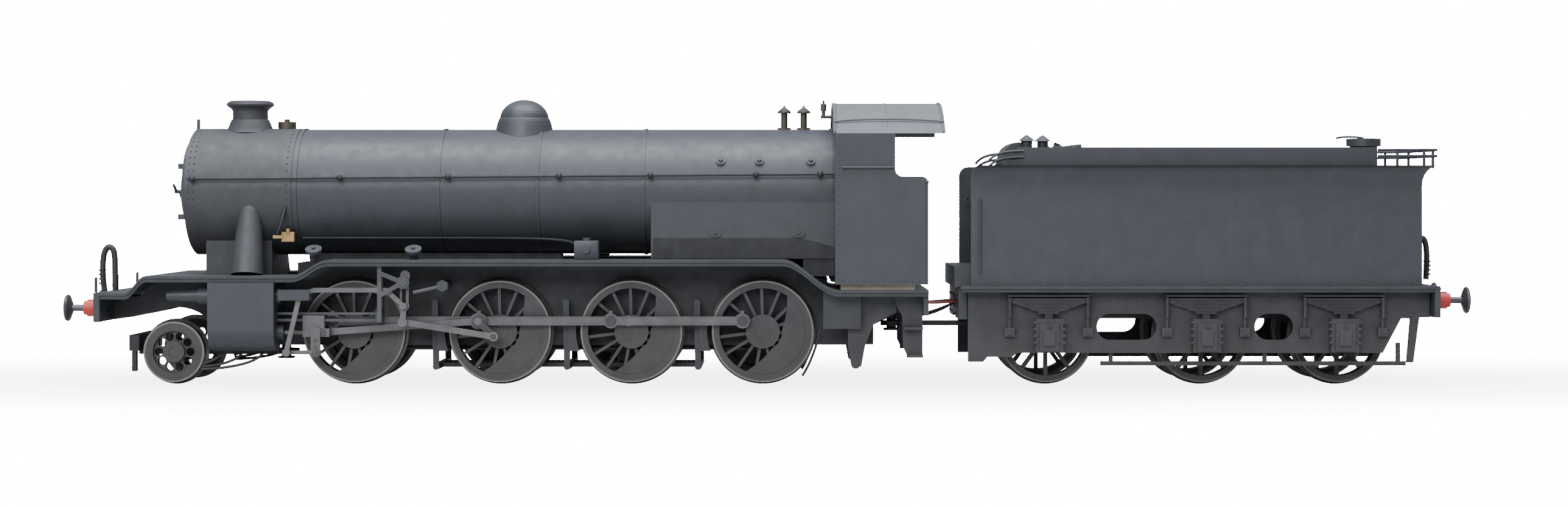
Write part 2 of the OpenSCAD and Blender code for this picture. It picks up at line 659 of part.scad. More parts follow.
// Two steps on hanging plates at the back, and a plain plate ahead of them
module cab_steps() color("#3d3f42") for (s = [-1, 1]) {
    top = rear_z - plate_t - seat;
    slab(s, 12.2, 0.6) polygon(concat(
        [[drag_x - 0.9, top], [drag_x - 0.9, 5.1], [drag_x - 3.6, 5.3], [drag_x - 4.4, 7.0],
         [drag_x - 4.6, 12.6]],
        ramp(drag_x - 4.9, 13.2, drag_x - 6.6, top, 5)));
    side_bar(s, drag_x - 4.4, drag_x - 0.9, 12.7, 14.8, 10.2, 10.7);
    side_bar(s, drag_x - 3.8, drag_x - 0.9, 12.7, 14.8, 5.2, 5.7);
    slab(s, 11.2, 0.6) polygon(concat(
        [[drag_x - 5.2, top], [drag_x - 5.6, 13.2], [drag_x - 9.6, 11.2], [drag_x - 11.2, 7.2],
         [drag_x - 11.9, 3.4]], arc(drag_x - 12.9, 3.9, 0.9, 330, 200, 5),
        [[drag_x - 14.3, 6.8], [drag_x - 14.3, top]]));
    side_bar(s, cab_x - 2.1, cab_x + 4.7, 11.8, 13.4, 10.3, top);
}

// ---- Cylinders and fixed motion parts ----

module cylinders() color("#4d4f53") for (s = [-1, 1]) difference() {
    union() {
        slab_x(s, cyl_front, cyl_back) {
            translate([cyl_y, driver_z + 0.6]) circle(cyl_r);
            translate([block_y + 0.64, driver_z + 0.6])
                square([cyl_out - block_y - 0.64, mid_z - plate_t - driver_z - 1.3]);
        }
        xcyl(cyl_back - 0.1, cyl_back + 1.2, s * cyl_y, driver_z, 1.35);
        xcyl(cyl_front - 2.1, cyl_front + 0.1, s * (cyl_y + 0.7), chest_z, 1.65);
        translate([cyl_front - 7.9, s * (cyl_y + 0.7), chest_z]) rotate([0, 90, 0])
            cylinder(h = 5.9, r1 = 0.9, r2 = 1.3);
        xcyl(cyl_back - 0.1, cyl_back + 0.8, s * (cyl_y + 0.7), chest_z, 1.5);
        // Valve spindle guide: two cheeks and a roof over the combination lever's head
        for (y = [rad_y - 0.65, lever_y + gear_t + 0.15])
            side_bar(s, cyl_back + 0.7, cyl_back + 6.3, y, y + 0.4, chest_z - 0.7, chest_z + 1.2);
        side_bar(s, cyl_back + 0.7, cyl_back + 1.3, rad_y - 0.65, lever_y + gear_t + 0.55,
            chest_z - 0.7, chest_z + 1.2);
    }
    // Bore for the piston rod
    xcyl(cyl_back - 9, cyl_back + 3, s * cyl_y, driver_z, 0.45 + run_gap);
}
module slab_x(s, x0, x1) mirror([0, s < 0 ? 1 : 0, 0]) across_x(x0, x1) children();
// Upper and lower slidebars with the gap that the crosshead's slipper runs in
module slidebars() color("#55534f") for (s = [-1, 1]) {
    y0 = slide_in + 0.4;
    side_bar(s, cyl_back + 0.02, bar_end, y0, y0 + 0.8, driver_z + 3.2, driver_z + 3.65);
    side_bar(s, cyl_back + 0.02, bar_end, y0, y0 + 0.8, driver_z + 2.0, driver_z + 2.5);
    side_bar(s, bar_end - 0.7, bar_end, y0, y0 + 0.8, driver_z + 2.0, driver_z + 3.65);
}
// Bracket that hangs from the running plate, holds the slidebars' back ends and
// carries the expansion link's trunnion outside the radius rod
module motion_brackets() color("#5b5954") for (s = [-1, 1]) {
    top = plate_z - plate_t - seat;
    foot = driver_z + 2.0;
    x0 = bar_end + seat;
    x1 = bar_end + 0.8;
    side_bar(s, x0, x1, slide_in + 0.1, link_y + 0.2, foot, top);
    side_bar(s, x0, x1, link_y + 0.1, lever_y + 0.5, foot, foot + 2.4);
    side_bar(s, x0, x1, link_y + 0.1, lever_y + 0.5, trunnion_z + 1.0, top);
    side_bar(s, x0, x1, block_y + 0.7, slide_in + 0.2, driver_z + 9.9, top);
    slab(s, lever_y, 0.5) difference() {
        union() {
            translate([x0, foot]) square([x1 - x0, top - foot]);
            link2d(bar_end + 0.4, trunnion_z + 1.7, trunnion_x, trunnion_z, 0.4, 1.15, 0.8);
            link2d(bar_end + 0.4, trunnion_z - 2.4, trunnion_x, trunnion_z, 0.4, 1.15, 0.8);
        }
        translate([trunnion_x, trunnion_z]) circle(0.45 + run_gap);
    }
}
module steam_pipes() color("#595b60") for (s = [-1, 1]) difference() {
    translate([cyl_front + 6.1, s * 12.4, mid_z + seat]) rotate([s * 13, 0, 0])
        cylinder(h = 11.4, r1 = 2.9, r2 = 2.1);
    xcyl(smoke_front - 1, smoke_back + 1, 0, boiler_z, boiler_r + 0.15 + seat);
    bar(cyl_front, cyl_back, 20, 0, mid_z + seat);
}
// Brake hangers with their blocks ahead of the last three coupled wheels
module brake_gear() color("#4a4743") {
    for (x = [main_x, third_x, last_x]) {
        wheel_front = x - driver_z;
        for (s = [-1, 1]) {
            slab(s, back_y + 0.9, 0.8) link2d(wheel_front - 2.3, driver_z + 5.2,
                wheel_front - 2.1, 3.2, 0.6, 0.6, 1.1);
            slab(s, back_y + 0.9, 1.2) difference() {
                translate([wheel_front - 1.9, driver_z - 3.6]) square([2.3, 5.4]);
                translate([x, driver_z]) circle(driver_z + 0.45);
            }
        }
        // Cross beam between the feet of a pair of hangers
        bar(wheel_front - 2.6, wheel_front - 1.6, back_y + 1.0, 2.7, 3.7);
        // Pin on which a pair of hangers swings, set in the frame plates
        for (s = [-1, 1]) peg(s, wheel_front - 2.3, driver_z + 5.2, 0.35, block_y + 0.64,
            back_y + 1.6 - block_y - 0.64);
    }
    for (s = [-1, 1]) side_bar(s, main_x - driver_z - 2.6, last_x - driver_z - 1.6, 3.0, 3.9,
        2.8, 3.6);
}

// ---- Moving rods, one side each ----

// Coupling rods in one length, with bosses at the pins and a knuckle behind the third
module coupling_rod(s) color("#6a655c") {
    z = driver_z + pin_z(s);
    slab(s, coupling_y, coupling_t) difference() {
        union() {
            for (x = drivers) translate([x + pin_x(s), z]) circle(1.35);
            translate([third_x + pin_x(s) + 3.2, z]) circle(0.95);
            translate([first_x + pin_x(s), z - rod_h / 2]) square([last_x - first_x, rod_h]);
            for (x = drivers) translate([x + pin_x(s) - 0.3, z]) square([0.6, 1.85]);
        }
        for (x = drivers) translate([x + pin_x(s), z]) circle(pin_r + run_gap);
    }
}
module coupling_rod_left() coupling_rod(-1);
module coupling_rod_right() coupling_rod(1);
module connecting_rod(s) color("#6a655c") {
    bx = main_x + pin_x(s);
    bz = driver_z + pin_z(s);
    slab(s, con_y, con_t) difference() {
        link2d(small_end_x(s), driver_z, bx, bz, 0.8, 1.5, 1.2);
        translate([bx, bz]) circle(pin_r + run_gap);
        translate([small_end_x(s), driver_z]) circle(0.35);
    }
}
module connecting_rod_left() connecting_rod(-1);
module connecting_rod_right() connecting_rod(1);
// Crosshead, slipper, piston rod and drop arm
module crosshead(s) color("#6a655c") {
    gx = small_end_x(s);
    y0 = slide_in;
    side_bar(s, gx - 3.4, gx + 1.4, y0, y0 + slide_w, driver_z - 0.75, driver_z + 0.75);
    for (y = [y0, y0 + 1.3]) side_bar(s, gx - 3.4, gx + 0.5, y, y + 0.3, driver_z,
        driver_z + 3.1);
    side_bar(s, gx - 3.4, gx + 0.5, y0 + 0.1, y0 + 1.5, driver_z + 2.6, driver_z + 3.1);
    slab(s, y0 + slide_w - 0.05, link_y + gear_t - y0 - slide_w + 0.05)
        link2d(gx - 1, driver_z + 0.2, gx - 1, lever_low, 0.95, 0.95, 1.7);
    peg(s, gx - 1, lever_low, pin_r * 0.7, link_y + gear_t - 0.1, gear_t + layer + 0.1);
    xcyl(gx - rod_reach, gx - 3.3, s * cyl_y, driver_z, 0.45);
}
module crosshead_left() crosshead(-1);
module crosshead_right() crosshead(1);
module union_link(s) color("#6a655c") {
    x1 = small_end_x(s) - 1;
    slab(s, rad_y, gear_t) difference() {
        link2d(x1 - union_len, lever_low, x1, lever_low, 0.65, 0.65, 0.7);
        translate([x1, lever_low]) circle(pin_r * 0.7 + run_gap);
        translate([x1 - union_len, lever_low]) circle(0.25);
    }
}
module union_link_left() union_link(-1);
module union_link_right() union_link(1);
function lever_foot_x(s) = small_end_x(s) - 1 - union_len;
module combination_lever(s) color("#6a655c") {
    slab(s, lever_y, gear_t) difference() {
        link2d(lever_x, chest_z + 0.3, lever_foot_x(s), lever_low, 0.6, 0.7, 0.85);
        translate([lever_x, chest_z + 0.3]) circle(pin_r * 0.7 + run_gap);
    }
}
module combination_lever_left() combination_lever(-1);
module combination_lever_right() combination_lever(1);
// Radius rod from the valve spindle, bent down at its back end to the die
module radius_rod(s) color("#6a655c") {
    z = chest_z + 0.3;
    zt = chest_z + 1.1;
    slab(s, rad_y, gear_t) {
        link2d(lever_x, z, lever_x + 2.4, zt, 0.55, 0.42, 0.84);
        link2d(lever_x + 2.4, zt, trunnion_x - 3.0, zt, 0.42, 0.42, 0.84);
        link2d(trunnion_x - 3.0, zt, trunnion_x, die_z, 0.42, 0.6, 0.84);
    }
    peg(s, lever_x, z, pin_r * 0.7, rad_y + gear_t - 0.1, gear_t + layer + 0.05);
}
module radius_rod_left() radius_rod(-1);
module radius_rod_right() radius_rod(1);
// Slotted expansion link on its trunnion, with a tail for the eccentric rod
module expansion_link(s) color("#6a655c") {
    slab(s, link_y, gear_t) difference() {
        union() {
            link2d(trunnion_x + 0.2, trunnion_z + 1.3, trunnion_x, die_z, 0.85, 0.95, 1.6);
            link2d(trunnion_x, die_z, trunnion_x - 0.3, link_foot_z, 0.7, 0.85, 1.0);
        }
        link2d(trunnion_x, trunnion_z - 1.0, trunnion_x, die_z, 0.35, 0.35, 0.7);
    }
    peg(s, trunnion_x, trunnion_z, 0.45, link_y + gear_t - 0.1, lever_y - link_y + 0.1);
}
module expansion_link_left() expansion_link(-1);
module expansion_link_right() expansion_link(1);
module eccentric_rod(s) color("#6a655c") {
    rx = main_x + ret_throw * cos(ret_angle(s));
    rz = driver_z + ret_throw * sin(ret_angle(s));
    slab(s, ecc_y, gear_t) difference() {
        link2d(trunnion_x - 0.3, link_foot_z, rx, rz, 0.8, 0.85, 1.1);
        translate([rx, rz]) circle(pin_r * 0.7 + run_gap);
        translate([trunnion_x - 0.3, link_foot_z]) circle(0.25);
    }
}
module eccentric_rod_left() eccentric_rod(-1);
module eccentric_rod_right() eccentric_rod(1);

// ---- Pony truck and drawbar ----

module pony_truck() color("#303133") {
    difference() {
        union() {
            bar(pony_x - 3, pony_pivot_x, 2.4, pony_z - 0.9, pony_z + 0.1);
            zcyl(pony_pivot_x, 0, pony_z - 0.9, pony_z + 0.1, 2.4);
            bar(pony_x - 2.6, pony_x + 2.6, 4.8, pony_z - 1.7, pony_z + 1.7);
            // Guard irons ahead of the wheels, hung from a cross bar
            bar(pony_x - 8.4, pony_x - 2.4, 1.6, pony_z - 0.9, pony_z + 0.1);
            bar(pony_x - 8.4, pony_x - 6.6, 8.8, pony_z + 0.1, pony_z + 3.0);
            bar(pony_x - 8.4, pony_x - 7.6, 1.6, pony_z - 0.9, pony_z + 1);
            for (s = [-1, 1]) side_bar(s, pony_x - 7.9, pony_x - 7.1, 7.6, 8.8, pony_z - 3.6,
                pony_z + 1);
        }
        translate([pony_x, 20, pony_z]) rotate([90, 0, 0])
            cylinder(h = 40, r = small_axle_r + run_gap);
        zcyl(pony_pivot_x, 0, 0, pony_z + 3, 0.9 + run_gap);
    }
}
module drawbar() color("#2c2d2f") difference() {
    union() {
        bar(engine_pin_x, tender_pin_x, 1.3, drawbar_z, drawbar_z + drawbar_t);
        for (x = [engine_pin_x, tender_pin_x]) zcyl(x, 0, drawbar_z, drawbar_z + drawbar_t, 2.0);
    }
    for (x = [engine_pin_x, tender_pin_x]) zcyl(x, 0, 0, 20, 0.9 + run_gap);
}

// ---- Tender ----

// Tank body in end view, with the flare along its top edges
module tank_end() polygon(concat(
    [[-tank_y, tender_plate_z], [tank_y, tender_plate_z]],
    [for (i = [0:6]) [tank_y + flare * (1 - cos(15 * i)), tank_z1 - 3.5 + 3.5 * sin(15 * i)]],
    [for (i = [6:-1:0]) [-tank_y - flare * (1 - cos(15 * i)), tank_z1 - 3.5 + 3.5 * sin(15 * i)]]));
module tank_side() polygon(concat(
    [[tank_x0, tender_plate_z], [tank_x1, tender_plate_z]],
    [for (i = [0:6]) [tank_x1 + rear_flare * (1 - cos(15 * i)), tank_z1 - 3.5 + 3.5 * sin(15 * i)]],
    arc(tank_x0 + 1.8, tank_z1 - 1.8, 1.8, 90, 180, 6)));
module tender_tank() color("#4f5156") {
    deck = tank_z1 - 2.2;
    difference() {
        intersection() {
            across_x(tank_x0, tank_x1 + rear_flare) tank_end();
            slab(1, -20, 40) tank_side();
        }
        // Open front between the side sheets
        bar(tank_x0 - 1, tank_x0 + 5, tank_y - 0.7, tender_plate_z - 1, tank_z1 + 1);
        // Sunk top inside the flare
        bar(tank_x0 + 4.5, tank_x1 + 0.6, tank_y - 0.4, deck, tank_z1 + 2);
        // Coal space
        bar(rave_x0 + 6.5, rave_x1 - 14, rave_y - 0.7, tank_z1 - 9, tank_z1 + 2);
        // Hollow underside for the weight and circuit board
        bar(tank_x0 + 6, tank_x1 - 1, tank_y - 0.9, tender_plate_z - 1, tank_z1 - 10);
    }
    // Coal raves either side of the coal space, and the bulkhead behind it
    for (s = [-1, 1]) slab(s, rave_y - 0.6, 0.6) polygon([[rave_x0 - 4, deck - 0.1],
        [rave_x1, deck - 0.1], [rave_x1, tank_z1 + 3.3], [rave_x0, tank_z1 + 3.3]]);
    bar(rave_x1 - 0.7, rave_x1, rave_y - 0.5, deck - 0.1, tank_z1 + 3.3);
    bar(rave_x0 - 0.2, rave_x0 + 0.5, rave_y - 0.5, deck - 0.1, tank_z1 + 2.2);
    // Filler on the back deck
    zcyl(rave_x1 + 0.6, 0, deck - 0.1, tank_z1 + 3.8, 2.5);
    zcyl(rave_x1 + 0.6, 0, tank_z1 + 3.7, tank_z1 + 5.1, 3.15);
    // Two capped air vents at the front
    for (p = [[rave_x0 + 1.9, -9], [rave_x0 + 5.1, -6]]) {
        zcyl(p[0], p[1], deck - 0.1, tank_z1 + 4.6, 1.0);
        translate([p[0], p[1], tank_z1 + 4.5]) cylinder(h = 1.1, r1 = 1.6, r2 = 0.2);
    }
}
module coal_load() color("#1b1b1c") {
    x0 = rave_x0 + 6.7;
    x1 = rave_x1 - 14.2;
    bar(x0, x1, rave_y - 0.9, tank_z1 - 8.9, tank_z1 + 0.6);
    for (p = [[4, -5, 3.0], [7, 2, 3.3], [11, -4, 2.8], [15, 5, 2.4], [22, -3, 2.5], [30, 3, 2.3],
            [38, -4, 2.2]])
        if (x0 + p[0] < x1 - 3) translate([x0 + p[0], p[1], tank_z1 + 0.1]) sphere(p[2], $fn = 32);
}
// Outside frame with its oval openings, springs, hangers and axleboxes on the face
module tender_frame(s) color("#3b3d41") {
    z1 = tender_plate_z - 1.1;
    z2 = tender_plate_z - 0.5 - seat;
    difference() {
        union() {
            slab(s, tender_frame_y, frame_t) difference() {
                polygon([[tender_x + 1.5, z2], [tender_x + 1.5, 4.4], [tender_x + 4.2, 4.4],
                    [tender_x + 5, 5.3], [t_axles[0] - 6.5, 5.3], [t_axles[0] - 5.5, 6.0],
                    [t_axles[2] + 7.2, 6.0], [t_axles[2] + 10.6, 12.4], [rear_x - 1.2, 12.4],
                    [rear_x - 1.2, z2]]);
                for (g = [[(t_axles[0] + t_axles[1]) / 2, 3.0], [(t_axles[1] + t_axles[2]) / 2, 1.1]])
                    union() {
                        for (k = [-1, 1]) translate([g[0] + k * g[1], 10.7]) circle(2.35);
                        translate([g[0] - g[1], 8.35]) square([2 * g[1], 4.7]);
                    }
            }
            for (x = t_axles) {
                side_bar(s, x - 2.5, x + 2.5, tender_frame_y + 0.1, 16.0, tender_z - 2.6,
                    tender_z + 3.4);
                side_bar(s, x - 1.7, x + 1.7, 15.9, 16.4, tender_z - 2.4, tender_z + 2.6);
                slab(s, tender_frame_y + frame_t - 0.1, 1.2) polygon([[x - 7.3, z1 - 1.1],
                    [x + 7.3, z1 - 1.1], [x + 7.3, z1 - 1.7], [x + 0.7, z1 - 4.0],
                    [x + 0.7, z1 - 4.9], [x - 0.7, z1 - 4.9], [x - 0.7, z1 - 4.0],
                    [x - 7.3, z1 - 1.7]]);
                for (k = [-7, 7]) {
                    side_bar(s, x + k - 0.25, x + k + 0.25, tender_frame_y + 0.1, 14.6, z1 - 7.5,
                        z1 - 0.9);
                    side_bar(s, x + k - 0.9, x + k + 0.9, tender_frame_y + 0.1, 14.9, z1 - 8.0,
                        z1 - 6.4);
                }
            }
        }
        for (x = t_axles) peg(s, x, tender_z, small_axle_r + run_gap, tender_frame_y - 1,
            axle_tip - tender_frame_y + 1.1);
    }
    // Brake pull rod, step and guard iron
    slab(s, tender_frame_y - 0.7, 0.75) union() {
        translate([t_axles[0] + 9.5, 3.7]) square([t_axles[2] + 11.5 - t_axles[0] - 9.5, 0.75]);
        for (x = [t_axles[0] + 11, t_axles[1] + 10.5, t_axles[2] + 9.8])
            translate([x, 3.8]) square([0.7, 4]);
    }
    slab(s, tender_frame_y, frame_t) polygon([[rear_x - 4.6, 12.6], [rear_x - 5.3, 4.3],
        [rear_x - 4.1, 4.3], [rear_x - 3.0, 12.6]]);
}
module tender_frame_left() tender_frame(-1);
module tender_frame_right() tender_frame(1);
// Footplate, beams and inner block that hold the tender together
module tender_chassis() color("#3b3d41") {
    z1 = tender_plate_z;
    difference() {
        bar(tender_x, rear_x - 0.9, plate_y - 0.2, z1 - 0.5, z1 - seat);
        for (x = t_axles) for (s = [-1, 1]) side_bar(s, x - 5.5, x + 5.5, 6.6, 10.6, z1 - 2,
            z1 + 1);
    }
    for (s = [-1, 1]) side_bar(s, tender_x + 0.2, rear_x - 0.9, plate_y - 0.9, plate_y - 0.5,
        z1 - 1.1, z1 - 0.4);
    difference() {
        bar(rear_x - 1, rear_x, plate_y - 0.3, beam_low + 0.8, z1);
        for (y = [-1, 1] * buffer_space / 2)
            xcyl(rear_x - 3, rear_x + 1, y, rear_buffer_z, 0.6 + run_gap);
    }
    difference() {
        bar(tender_x - 0.1, tender_x + 1.4, 12.9, 12.0, z1 - 0.4);
        bar(tender_x - 1, tender_x + 2, 3.2, 9, 12.6);
        for (s = [-1, 1]) side_bar(s, tender_x - 1, tender_x + 2, 0.6, 2.7, 14, 16.4);
    }
    difference() {
        bar(tender_x + 1.3, rear_x - 1.5, 5.6, 11.8, z1 - 0.4);
        bar(tender_x, tender_x + 12, 3.6, 9, 12.6);
        zcyl(rear_x - 6, 0, 10, 15.8, screw_r);
    }
    zcyl(tender_pin_x, 0, drawbar_z - 0.5, 13, 0.9);
    zcyl(tender_pin_x, 0, drawbar_z - 0.9, drawbar_z - 0.5 + tiny, 1.5);
    bar(rear_x - 0.2, rear_x + 1.4, 0.35, rear_buffer_z - 0.5, rear_buffer_z + 0.5);
    // Locker at the tender's front
    bar(tender_x - 0.9, tank_x0 + 4.4, 13.4, z1 - 0.3, z1 + 3.4);
}
module tender_wheelset_1() tender_wheelset(0);
module tender_wheelset_2() tender_wheelset(1);
module tender_wheelset_3() tender_wheelset(2);
module tender_buffer_shanks() color("#b8403c") shanks(rear_x + seat, rear_buffer_z, 1);

// Four thin leads from the engine's back to the slots in the tender's front plate
wire_r = 0.22;
wire_x = tender_gap + 1.1;
wire_paths = [
    [[-1.5, 14.7], [1.5, 14.4], [3.5, 14.5], [wire_x, 14.9]],
    [[-1.5, 14.5], [1.5, 14.8], [3.5, 14.9], [wire_x, 15.2]],
    [[-1.5, 12.2], [1.2, 12.4], [3.4, 13.4], [wire_x, 14.9]],
    [[-1.5, 12.0], [1.8, 12.1], [3.9, 13.2], [wire_x, 15.2]]];
module wire(pts, y) {
    n = 8;
    ring = [for (p = pts) for (j = [0:n - 1])
        [drag_x + p[0], y + wire_r * cos(360 * j / n), p[1] + wire_r * sin(360 * j / n)]];
    last = len(pts) - 1;
    sides = [for (i = [0:last - 1]) for (j = [0:n - 1])
        let (a = i * n + j, b = i * n + (j + 1) % n) each [[a, b + n, b], [a, a + n, b + n]]];
    polyhedron(points = ring, faces = concat(sides,
        [[for (j = [0:n - 1]) j], [for (j = [n - 1:-1:0]) last * n + j]]));
}
module connecting_wires() color("#3a2a26")
    for (i = [0:3]) wire(wire_paths[i], [-1.9, -1.35, 1.35, 1.9][i]);

chassis_block();
keeper_plate();
frame_plates();
running_plate();
front_beam();
front_buffer_shanks();
boiler();
smokebox();
smokebox_door();
chimney();
dome();
safety_valves();
cab();
cab_roof();
cab_floor();
cylinders();
slidebars();
steam_pipes();
motion_brackets();
brake_gear();
cab_steps();
motor();
pony_truck();
pony_wheelset();
wheelset_1();
wheelset_2();
wheelset_3();
wheelset_4();
worm_shaft();
coupling_rod_left();
coupling_rod_right();
connecting_rod_left();
connecting_rod_right();
crosshead_left();
crosshead_right();
combination_lever_left();
combination_lever_right();
union_link_left();
union_link_right();
eccentric_rod_left();
eccentric_rod_right();
expansion_link_left();
expansion_link_right();
radius_rod_left();
radius_rod_right();
drawbar();
tender_tank();
tender_frame_left();
tender_frame_right();
tender_chassis();
coal_load();
tender_wheelset_1();
tender_wheelset_2();
tender_wheelset_3();
tender_buffer_shanks();
connecting_wires();
buffer_front_left();
buffer_front_right();
buffer_rear_left();
buffer_rear_right();
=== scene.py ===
import bpy
import json
import math
import random
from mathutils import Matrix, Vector


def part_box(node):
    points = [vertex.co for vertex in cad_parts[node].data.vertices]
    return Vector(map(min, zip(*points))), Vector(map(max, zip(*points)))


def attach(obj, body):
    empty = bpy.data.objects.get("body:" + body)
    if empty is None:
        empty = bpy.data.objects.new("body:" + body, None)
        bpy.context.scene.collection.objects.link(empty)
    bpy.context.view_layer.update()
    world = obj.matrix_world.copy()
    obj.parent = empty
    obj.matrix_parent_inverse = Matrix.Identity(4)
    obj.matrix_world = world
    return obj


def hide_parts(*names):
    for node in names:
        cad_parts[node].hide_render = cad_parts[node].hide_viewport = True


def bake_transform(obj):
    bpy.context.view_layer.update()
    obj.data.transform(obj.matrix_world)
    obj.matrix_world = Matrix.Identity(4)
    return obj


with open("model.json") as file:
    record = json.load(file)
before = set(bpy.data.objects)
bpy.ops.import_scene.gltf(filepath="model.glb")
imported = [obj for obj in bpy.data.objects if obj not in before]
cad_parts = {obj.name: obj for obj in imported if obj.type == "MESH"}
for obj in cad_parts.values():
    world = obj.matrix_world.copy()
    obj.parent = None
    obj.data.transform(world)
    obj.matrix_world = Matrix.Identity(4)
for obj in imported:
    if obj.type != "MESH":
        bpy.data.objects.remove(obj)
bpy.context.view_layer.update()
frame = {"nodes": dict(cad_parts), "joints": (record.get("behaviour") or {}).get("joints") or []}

# ---- Camera, floor and light ----
# The camera stands square to the left side. A floor and a world that look pale to
# the camera only, with two large soft lights, give a plain studio. The floor's glow
# is dimmer near the engine, a painted shadow under it.
MM = 0.001
cam_data = bpy.data.cameras.new("camera")
cam_data.lens = 58.3
cam_data.sensor_width = 36.0
cam_data.sensor_fit = "HORIZONTAL"
cam_data.shift_y = -0.0398
cam_data.clip_start = 0.01
cam = bpy.data.objects.new("camera", cam_data)
cam.location = (3.05 * MM, -470 * MM, 35 * MM)
cam.rotation_euler = (math.radians(90), 0, 0)
bpy.context.scene.collection.objects.link(cam)
bpy.context.scene.camera = cam


def plain(name, color, rough):
    m = bpy.data.materials.new(name)
    m.use_nodes = True
    b = m.node_tree.nodes["Principled BSDF"]
    b.inputs["Base Color"].default_value = (*color, 1)
    b.inputs["Roughness"].default_value = rough
    return m


bpy.ops.mesh.primitive_plane_add(size=6, location=(0, 0, 0))
floor = bpy.context.object
floor.name = "floor"
floor_white = plain("floor_white", (0.42, 0.42, 0.43), 0.8)
ft = floor_white.node_tree
glow = ft.nodes.new("ShaderNodeEmission")
# The camera-only glow is weaker within about a tenth of a metre of the floor's middle, under the
# engine: a painted shadow.
where = ft.nodes.new("ShaderNodeTexCoord")
squash = ft.nodes.new("ShaderNodeVectorMath")
squash.operation = "MULTIPLY"
squash.inputs[1].default_value = (0.25, 1, 1)
reach = ft.nodes.new("ShaderNodeVectorMath")
reach.operation = "LENGTH"
painted_floor_shadow = ft.nodes.new("ShaderNodeMapRange")
painted_floor_shadow.interpolation_type = "SMOOTHSTEP"
painted_floor_shadow.inputs["From Min"].default_value = 0.02
painted_floor_shadow.inputs["From Max"].default_value = 0.11
painted_floor_shadow.inputs["To Min"].default_value = 5
painted_floor_shadow.inputs["To Max"].default_value = 18
ft.links.new(where.outputs["Object"], squash.inputs[0])
ft.links.new(squash.outputs[0], reach.inputs[0])
ft.links.new(reach.outputs["Value"], painted_floor_shadow.inputs["Value"])
ft.links.new(painted_floor_shadow.outputs["Result"], glow.inputs["Strength"])
ray = ft.nodes.new("ShaderNodeLightPath")
gate = ft.nodes.new("ShaderNodeMixShader")
both = ft.nodes.new("ShaderNodeAddShader")
lit = ft.nodes["Principled BSDF"].outputs[0]
ft.links.new(lit, both.inputs[0])
ft.links.new(glow.outputs[0], both.inputs[1])
ft.links.new(ray.outputs["Is Camera Ray"], gate.inputs[0])
ft.links.new(lit, gate.inputs[1])
ft.links.new(both.outputs[0], gate.inputs[2])
ft.links.new(gate.outputs[0], ft.nodes["Material Output"].inputs[0])
floor.data.materials.append(floor_white)

world = bpy.data.worlds.new("studio")
bpy.context.scene.world = world
world.use_nodes = True
wt = world.node_tree
soft = wt.nodes["Background"]
soft.inputs["Color"].default_value = (0.9, 0.94, 1, 1)
soft.inputs["Strength"].default_value = 0.5
seen = wt.nodes.new("ShaderNodeBackground")
seen.inputs["Color"].default_value = (1, 1, 1, 1)
seen.inputs["Strength"].default_value = 18
path = wt.nodes.new("ShaderNodeLightPath")
either = wt.nodes.new("ShaderNodeMixShader")
wt.links.new(path.outputs["Is Camera Ray"], either.inputs[0])
wt.links.new(soft.outputs[0], either.inputs[1])
wt.links.new(seen.outputs[0], either.inputs[2])
wt.links.new(either.outputs[0], wt.nodes["World Output"].inputs[0])


def area_light(name, place, aim, size, power):
    data = bpy.data.lights.new(name, "AREA")
    data.shape = "RECTANGLE"
    data.size = size[0]
    data.size_y = size[1]
    data.energy = power
    data.color = (0.92, 0.95, 1)
    lamp = bpy.data.objects.new(name, data)
    lamp.location = place
    lamp.rotation_euler = (Vector(aim) - Vector(place)).to_track_quat("-Z", "Y").to_euler()
    bpy.context.scene.collection.objects.link(lamp)


area_light("overhead", (0.0, -0.12, 0.62), (0, 0, 0.02), (0.8, 0.4), 10.5)
area_light("front_soft", (-0.2, -0.62, 0.34), (0, 0, 0.03), (0.6, 0.3), 4.6)
